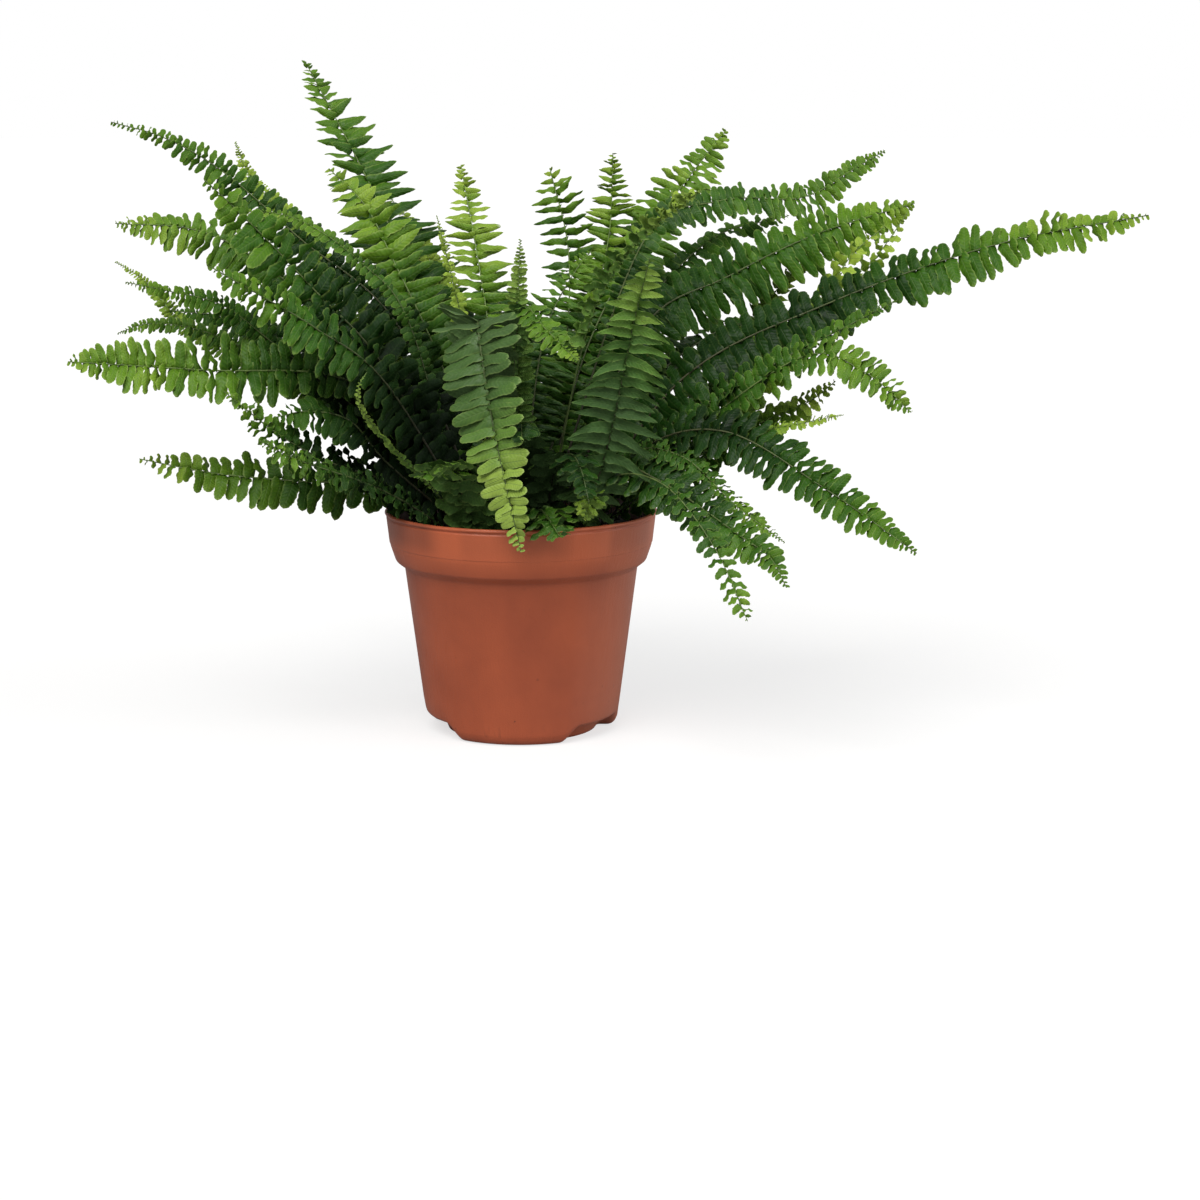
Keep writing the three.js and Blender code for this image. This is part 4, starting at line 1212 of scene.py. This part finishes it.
    @staticmethod
    def _store(w: Wiring, geometry: object, name: str, value: object) -> bpy.types.Node:
        """Stores a number on every point."""
        return w.add("GeometryNodeStoreNamedAttribute", geometry, None, name, value)

    @staticmethod
    def _blend(w: Wiring, first: object, second: object, angle: object) -> bpy.types.Node:
        """One direction turned towards another that is square to it, by an angle."""
        near, far = w.scaled(first, w.math("COSINE", angle)), w.scaled(second, w.math("SINE", angle))
        return w.vector("ADD", near, far)

    @staticmethod
    def _chance(w: Wiring, seed: object) -> Callable[[float, float], bpy.types.NodeSocket]:
        """Makes random draws, each with a seed of its own.

        Args:
            w: The tree's wiring.
            seed: The frond's seed.

        Returns:
            A function that adds one draw.
        """
        drawn = 0

        def draw(low: float, high: float) -> bpy.types.NodeSocket:
            """A random number for each point.

            Args:
                low: The least it can be.
                high: The most.

            Returns:
                The number.
            """
            nonlocal drawn
            drawn += 1
            node = w.add("FunctionNodeRandomValue", low, high, data_type="FLOAT")
            w.feed(node.inputs["Seed"], w.plus(seed, float(drawn)))
            return node.outputs[1]

        return draw


class Fern:
    """All fronds, each a rib with its leaflets."""

    RIB_RADIUS = 0.86 * MM
    SLIMMEST_RIB = 0.45
    LEAFLET_FOR_RIB = 30
    SEED_STEP = 100

    def __init__(self) -> None:
        """Builds what the fronds share."""
        self.growth = FrondGrowth()
        self.stock = LeafletStock()
        self.rib_finish = RibFinish().material()
        self.finishes = {slot: LeafFinish(slot).material() for slot in LeafFinish.SPECULAR}

    def build(self) -> None:
        """Builds every frond in the place of its node."""
        for number, plan in enumerate(FRONDS):
            piece = self.frond(plan, number)
            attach(piece, BODY)
            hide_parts(f"frond_{plan.name}")
            plan.slot()
            LOG.info("frond %s: %d faces", plan.name, len(piece.data.polygons))
        self.stock.discard()

    def frond(self, plan: FrondPlan, number: int) -> bpy.types.Object:
        """One frond.

        Args:
            plan: The frond's place, shape and leaflets.
            number: Seed of its random draws.

        Returns:
            The piece.
        """
        line, faces = plan.rib_line()
        mesh = bpy.data.meshes.new(f"rib line {plan.name}")
        mesh.from_pydata([tuple(p) for p in line], [(k, k + 1) for k in range(len(line) - 1)], [])
        mesh.attributes.new("rib_face", "FLOAT_VECTOR", "POINT").data.foreach_set("vector", faces.ravel())
        slenderness = min(1.0, self.SLIMMEST_RIB + plan.leaflet / self.LEAFLET_FOR_RIB)
        return grown(f"fern_{plan.name}", mesh, self.growth.inputs, {
            "Leaflets": self.stock.collections[plan.form],
            "Pitch": plan.spacing(),
            "Length": plan.leaflet * MM,
            "Width": plan.spacing() * plan.broad * FrondGrowth.WIDTH_TO_PITCH,
            "Bare Share": plan.bare,
            "First": plan.first,
            "Full Share": plan.full,
            "Taper": plan.taper,
            "Fold": plan.usual_fold(),
            "Sag": plan.sag,
            "Wild": plan.wild,
            "Young": plan.young,
            "Tip Young": plan.tip,
            "Bloom": plan.bloom,
            "Rib Radius": self.RIB_RADIUS * slenderness,
            "Seed": self.SEED_STEP * number,
            "Blade Finish": self.finishes[plan.slot()],
            "Rib Finish": self.rib_finish,
        })


@dataclass(frozen=True)
class NurseryPot:
    """The moulded pot, in millimetres: a tapered wall, a deep collar, a lipped rim and a notched foot."""

    height: float = 114.0
    rim_radius: float = 70.0
    lip: float = 1.6
    collar_top_radius: float = 69.2
    collar_foot_radius: float = 67.3
    collar_foot: float = 96.0
    collar_under: float = 85.0
    neck_radius: float = 60.0
    foot_radius: float = 50.0
    foot_corner_width: float = 5.0
    foot_corner_height: float = 8.0
    wall: float = 1.5
    notches: tuple[float, ...] = (-31.0, 84.0, 199.0)
    notch_width: float = 58.0
    notch_depth: float = 9.0
    notch_height: float = 7.4
    notch_slope: float = 12.0
    notch_ease: float = 12.5
    slot_width: float = 3.0
    slot_length: float = 12.0
    sides: int = 220

    NOTCH_RISE = 3

    def profile(self) -> np.ndarray:
        """The section, up the outside, over the rim and down the inside.

        Returns:
            The radius and height of each point.
        """
        outside = [
            (0.0, 0.0),
            (25.0, 0.0),
            (self.foot_radius - self.notch_depth - self.NOTCH_RISE, 0.0),
            (self.foot_radius - self.notch_depth, 0.0),
            (self.foot_radius - self.foot_corner_width, 0.0),
            (self.foot_radius - 3.1, 0.6),
            (self.foot_radius - 1.5, 2.3),
            (self.foot_radius - 0.4, 4.9),
            (self.foot_radius, self.foot_corner_height),
            (self.foot_radius + 1.3, 18.0),
            (self.neck_radius, self.collar_under),
            (self.neck_radius + 4.6, self.collar_under + 3.6),
            (self.collar_foot_radius - 0.2, self.collar_foot),
            (self.collar_foot_radius + 0.15, self.collar_foot + 1.6),
            (self.collar_foot_radius + 0.4, self.collar_foot + 1.9),
            (self.collar_top_radius, self.height - self.lip - 1.6),
            (self.collar_top_radius - 0.5, self.height - self.lip - 0.9),
            (self.collar_top_radius - 0.3, self.height - self.lip - 0.2),
            (self.rim_radius - 0.1, self.height - self.lip + 0.1),
            (self.rim_radius, self.height - 0.6),
            (self.rim_radius - 0.6, self.height),
        ]
        inside = [
            (self.rim_radius - self.wall - 0.5, self.height),
            (self.rim_radius - self.wall - 1.0, self.height - 0.7),
            (self.collar_foot_radius - self.wall, self.collar_foot),
            (self.neck_radius - self.wall, self.collar_under),
            (self.foot_radius - self.wall, self.foot_corner_height + 1),
            (self.foot_radius - self.foot_corner_width - 1, self.wall),
            (20.0, self.wall),
            (0.0, self.wall),
        ]
        return self._rounded(np.array([*outside, *inside]))

    @staticmethod
    def _rounded(corners: np.ndarray, reach: float = 0.9, steps: int = 4) -> np.ndarray:
        """Rounds every corner but the first and the last with a short curve.

        Args:
            corners: The corners.
            reach: How far from its corner a curve starts.
            steps: Points in each curve.

        Returns:
            The points.
        """
        points = [corners[0]]
        for before, corner, after in zip(corners, corners[1:], corners[2:]):
            back, ahead = before - corner, after - corner
            cut = min(reach, 0.45 * np.linalg.norm(back), 0.45 * np.linalg.norm(ahead))
            start = corner + back / np.linalg.norm(back) * cut
            end = corner + ahead / np.linalg.norm(ahead) * cut
            for t in np.linspace(0, 1, steps):
                points.append((1 - t) ** 2 * start + 2 * t * (1 - t) * corner + t**2 * end)
        points.append(corners[-1])
        return np.array(points)

    def raised(self, radius: float, angle: float) -> float:
        """How high the underside is at a place.

        Args:
            radius: Its distance from the axis.
            angle: Its bearing, in radians.

        Returns:
            0, or up to the roof of a notch.
        """
        height = 0.0
        for bearing in self.notches:
            turn = (math.degrees(angle) - bearing + 180) % 360 - 180
            aside = abs(math.radians(turn)) * self.foot_radius
            open_share = smooth(aside, self.notch_width / 2, self.notch_width / 2 - self.notch_slope)
            height = max(height, self.notch_height * open_share)
        inner_end = self.foot_radius - self.notch_depth
        return height * smooth(radius, inner_end - self.NOTCH_RISE, inner_end)

    def build(self) -> None:
        """Turns the profile about the axis, lifts the notches and cuts their slots."""
        profile = self.profile()
        rings = profile[1:-1]
        rim = int(np.argmax(rings[:, 1]))
        points = [(0.0, 0.0, 0.0), (0.0, 0.0, self.wall * MM)]
        for number, (radius, height) in enumerate(rings):
            inner = self.wall if number > rim else 0.0
            for k in range(self.sides):
                angle = 2 * math.pi * k / self.sides
                floor = self.raised(radius, angle)
                lifted = floor + inner if inner else floor + height * (1 - floor / self.notch_ease)
                lifted = max(height, lifted)
                points.append((radius * MM * math.cos(angle), radius * MM * math.sin(angle), lifted * MM))
        faces = []
        last = 2 + (len(rings) - 1) * self.sides
        for k in range(self.sides):
            after = (k + 1) % self.sides
            faces.append((0, 2 + after, 2 + k))
            faces.append((1, last + k, last + after))
            for row in range(len(rings) - 1):
                low, high = 2 + row * self.sides, 2 + (row + 1) * self.sides
                faces.append((low + k, low + after, high + after, high + k))
        piece = mesh_piece("pot_body", np.array(points), faces)
        # Marks the inside wall, which the finish darkens with painted shade.
        inner = [0.0, 1.0]
        inner += [float(number > rim + 1) for number in range(len(rings)) for _ in range(self.sides)]
        piece.data.attributes.new("inside", "FLOAT", "POINT").data.foreach_set("value", inner)
        self._cut_slots(piece)
        piece.data.materials.append(PotFinish().material())
        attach(piece, BODY)
        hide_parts("pot")
        LOG.info("pot: %d faces", len(piece.data.polygons))

    def _cut_slots(self, piece: bpy.types.Object) -> None:
        """Cuts the drainage slot in the roof of each notch.

        Args:
            piece: The pot, which gets the cut mesh.
        """
        middle = self.foot_radius - self.notch_depth / 2 - self.slot_width / 2
        half = Vector((self.slot_width / 2, self.slot_length / 2, 2 * self.wall))
        points, faces = [], []
        for bearing in self.notches:
            start = len(points)
            turn = Matrix.Rotation(math.radians(bearing), 3, "Z")
            for x, y, z in itertools.product((-1, 1), repeat=3):
                corner = Vector((middle + x * half.x, y * half.y, self.notch_height + z * half.z))
                points.append(turn @ corner * MM)
            sides = ((0, 1, 3, 2), (4, 6, 7, 5), (0, 4, 5, 1), (2, 3, 7, 6), (0, 2, 6, 4), (1, 5, 7, 3))
            faces += [[start + k for k in side] for side in sides]
        cutter = mesh_piece("slot cutter", np.array(points), faces)
        modifier = piece.modifiers.new("slots", "BOOLEAN")
        modifier.operation = "DIFFERENCE"
        modifier.solver = "EXACT"
        modifier.object = cutter
        depsgraph = bpy.context.evaluated_depsgraph_get()
        cut = bpy.data.meshes.new_from_object(
            piece.evaluated_get(depsgraph), preserve_all_data_layers=True, depsgraph=depsgraph)
        piece.modifiers.remove(modifier)
        piece.data = cut
        bpy.data.objects.remove(cutter)


class CrumbSpread:
    """The node tree that strews crumbs and fibres over the soil."""

    LOWEST = 98 * MM
    FACING_UP = 0.5
    WHOLE_TURN = (6.28, 6.28, 6.28)
    TURN_SEED = 11
    SIZE_SEED = 12
    KIND_SEED = 13

    def __init__(self) -> None:
        """Builds the tree."""
        tree = bpy.data.node_groups.new("crumb spread", "GeometryNodeTree")
        self.inputs = TreeInputs(tree)
        self.inputs.declare("Collection", "Crumbs")
        self.inputs.declare("Float", "Number To Square Metre", "Smallest", "Largest")
        self.inputs.declare("Int", "Seed")
        self.inputs.declare("Material", "Finish")
        w = Wiring(tree)
        source = w.add("NodeGroupInput").outputs
        facing = w.add("ShaderNodeSeparateXYZ", w.add("GeometryNodeInputNormal")).outputs[2]
        high = w.add("ShaderNodeSeparateXYZ", w.add("GeometryNodeInputPosition")).outputs[2]
        up = w.math("GREATER_THAN", facing, self.FACING_UP)
        top = w.times(up, w.math("GREATER_THAN", high, self.LOWEST))
        seats = w.add("GeometryNodeDistributePointsOnFaces", source["Geometry"], top,
                      source["Number To Square Metre"], source["Seed"])
        turn = w.add("FunctionNodeRandomValue", (0, 0, 0), self.WHOLE_TURN, None, self.TURN_SEED,
                     data_type="FLOAT_VECTOR")
        size = w.add("FunctionNodeRandomValue", source["Smallest"], source["Largest"], None, self.SIZE_SEED)
        kind = w.add("FunctionNodeRandomValue", 0, Soil.CRUMBS - 1, None, self.KIND_SEED, data_type="INT")
        stock = w.add("GeometryNodeCollectionInfo", source["Crumbs"], True, True)
        crumbs = w.add("GeometryNodeInstanceOnPoints", seats.outputs["Points"], None, stock, True, kind,
                       w.add("FunctionNodeEulerToRotation", turn), size)
        whole = w.add("GeometryNodeRealizeInstances", w.joined(source["Geometry"], crumbs))
        w.add("NodeGroupOutput", w.add("GeometryNodeSetMaterial", whole, None, source["Finish"]))


@dataclass(frozen=True)
class Soil:
    """The peat that fills the pot, in millimetres, with crumbs and fibres on its top."""

    radius: float = 64.2
    foot_radius: float = 57.6
    top: float = 104.5
    bottom: float = 86.0
    rings: int = 34
    sides: int = 96
    roughness: float = 1.3
    edge_drop: float = 1.6
    crumbs_to_square_metre: float = 110000.0
    smallest_crumb: float = 0.5
    largest_crumb: float = 2.2

    SEED = 5
    SPREAD_SEED = 3
    CRUMB_SEED = 9
    WAVES = 14
    WAVE_RATES = (60, 420)
    WAVE_CALM = 4
    CRUMBS = 6
    LUMPS = 4
    FIBRE = (3.4, 0.3, 0.3)
    LUMP = (0.6, 1.1)
    CRUMPLE = (0.75, 1.2)

    def build(self) -> None:
        """Builds the plug with its uneven top and strews it with crumbs."""
        rng = np.random.default_rng(self.SEED)
        waves = [(rng.uniform(*self.WAVE_RATES, 2) * rng.choice([-1, 1], 2), rng.uniform(0, 6.28))
                 for _ in range(self.WAVES)]
        points = [(0.0, 0.0, self.bottom * MM)]
        for row in range(self.rings + 1):
            share = row / self.rings
            for k in range(self.sides):
                angle = 2 * math.pi * k / self.sides
                x, y = (self.radius * share * MM * f(angle) for f in (math.cos, math.sin))
                bumps = sum(math.sin(a * x + b * y + c) for (a, b), c in waves) / self.WAVE_CALM
                sink = self.edge_drop * share**6
                z = self.top + self.roughness * bumps - sink
                points.append((x, y, z * MM))
        start = 1 + (self.rings + 1) * self.sides
        for k in range(self.sides):
            angle = 2 * math.pi * k / self.sides
            x, y = (self.foot_radius * MM * f(angle) for f in (math.cos, math.sin))
            points.append((x, y, self.bottom * MM))
        faces = []
        for k in range(self.sides):
            after = (k + 1) % self.sides
            faces.append((0, start + after, start + k))
            for row in range(self.rings):
                low, high = 1 + row * self.sides, 1 + (row + 1) * self.sides
                faces.append((low + k, high + k, high + after, low + after))
            edge = 1 + self.rings * self.sides
            faces.append((start + k, start + after, edge + after, edge + k))
        plug = mesh_piece("soil plug", np.array(points), faces)
        self._close_middle(plug)
        stock = self._crumbs()
        spread = CrumbSpread()
        piece = grown("potting_soil", plug.data, spread.inputs, {
            "Crumbs": stock,
            "Number To Square Metre": self.crumbs_to_square_metre,
            "Smallest": self.smallest_crumb * MM,
            "Largest": self.largest_crumb * MM,
            "Seed": self.SPREAD_SEED,
            "Finish": SoilFinish().material(),
        })
        bpy.data.objects.remove(plug)
        for crumb in list(stock.objects):
            bpy.data.meshes.remove(crumb.data)
        bpy.data.collections.remove(stock)
        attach(piece, BODY)
        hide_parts("soil")
        LOG.info("soil: %d faces", len(piece.data.polygons))

    @staticmethod
    def _close_middle(plug: bpy.types.Object) -> None:
        """Merges the points that meet in the middle of the top.

        Args:
            plug: The plug.
        """
        body = bmesh.new()
        body.from_mesh(plug.data)
        bmesh.ops.remove_doubles(body, verts=body.verts, dist=1e-6)
        bmesh.ops.recalc_face_normals(body, faces=body.faces)
        body.to_mesh(plug.data)
        body.free()

    def _crumbs(self) -> bpy.types.Collection:
        """Builds the lumps and the fibres, about one unit in radius.

        Returns:
            Their collection.
        """
        stock = bpy.data.collections.new("crumbs")
        rng = np.random.default_rng(self.CRUMB_SEED)
        for number in range(self.CRUMBS):
            body = bmesh.new()
            bmesh.ops.create_icosphere(body, subdivisions=1, radius=1.0)
            stretch = np.array(self.FIBRE) if number >= self.LUMPS else rng.uniform(*self.LUMP, 3)
            for point in body.verts:
                point.co = Vector(np.array(point.co) * stretch * rng.uniform(*self.CRUMPLE))
            mesh = bpy.data.meshes.new(f"crumb {number}")
            body.to_mesh(mesh)
            body.free()
            stock.objects.link(bpy.data.objects.new(f"crumb {number}", mesh))
        return stock


@dataclass(frozen=True)
class SoftSun:
    """A wide soft sun, even over the whole floor."""

    name: str
    place: tuple[float, float, float]
    strength: float
    spread: float
    colour: tuple[float, float, float] = (1.0, 1.0, 1.0)

    def build(self) -> None:
        """Hangs the lamp so that it shines from its place to the plant."""
        data = bpy.data.lights.new(self.name, "SUN")
        data.energy = self.strength
        data.angle = math.radians(self.spread)
        data.color = self.colour
        lamp = bpy.data.objects.new(self.name, data)
        lamp.location = self.place
        lamp.rotation_euler = (Vector((0, 0, 0)) - Vector(self.place)).to_track_quat("-Z", "Y").to_euler()
        bpy.context.scene.collection.objects.link(lamp)


@dataclass(frozen=True)
class Studio:
    """Pale floor and backdrop, soft light, and the camera at the photograph's viewing angle."""

    camera_place: tuple[float, float, float] = (0.0406, -1.4, 0.3317)
    camera_tilt: float = 10.74
    lens: float = 82.6
    sensor: float = 36.0
    floor_half: float = 6.0
    floor_reach: float = 14.0
    sky: float = 0.32
    bounce: float = 0.35
    glow: float = 0.66
    paper_roughness: float = 0.9
    lamps: tuple[SoftSun, ...] = (
        SoftSun("key", (-0.3, -0.75, 1.0), 2.4, 45.0, (1.0, 0.985, 0.96)),
        SoftSun("fill", (1.0, -0.35, 0.5), 1.2, 50.0, (0.98, 0.99, 1.0)),
    )

    def build(self) -> None:
        """Sets up floor, light and camera."""
        scene = bpy.context.scene
        camera = bpy.data.objects.new("camera", bpy.data.cameras.new("camera"))
        camera.data.lens = self.lens
        camera.data.sensor_width = self.sensor
        camera.location = self.camera_place
        camera.rotation_euler = (math.radians(90 - self.camera_tilt), 0, 0)
        scene.collection.objects.link(camera)
        scene.camera = camera
        for lamp in self.lamps:
            lamp.build()
        world = bpy.data.worlds.new("studio")
        world.use_nodes = True
        w = Wiring(world.node_tree)
        background = world.node_tree.nodes["Background"]
        background.inputs["Color"].default_value = WHITE
        seen = w.add("ShaderNodeLightPath").outputs["Is Camera Ray"]
        w.feed(background.inputs["Strength"], w.span(seen, 0.0, 1.0, self.sky, 1.0))
        scene.world = world
        scene.view_settings.view_transform = "Standard"
        self._floor()

    def _floor(self) -> None:
        """A white floor to far behind the plant, which shows brighter than the light it throws back."""
        half, reach = self.floor_half, self.floor_reach
        corners = np.array([(-half, -half, 0), (half, -half, 0), (half, reach, 0), (-half, reach, 0)])
        floor = mesh_piece("floor", corners, [(0, 1, 2, 3)])
        paper = Surface("floor paper")
        seen = paper.wiring.add("ShaderNodeLightPath").outputs["Is Camera Ray"]
        paper.take({
            "Base Color": (self.bounce, self.bounce, self.bounce, 1.0),
            "Emission Color": WHITE,
            "Emission Strength": paper.wiring.times(seen, self.glow),
            "Roughness": self.paper_roughness,
        })
        floor.data.materials.append(paper.material)


def main() -> None:
    """Builds the studio, the pot, the soil and the fronds."""
    logging.basicConfig(level=logging.INFO, format="%(name)s: %(message)s")
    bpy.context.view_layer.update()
    Studio().build()
    NurseryPot().build()
    Soil().build()
    Fern().build()


if __name__ == "__main__":
    main()
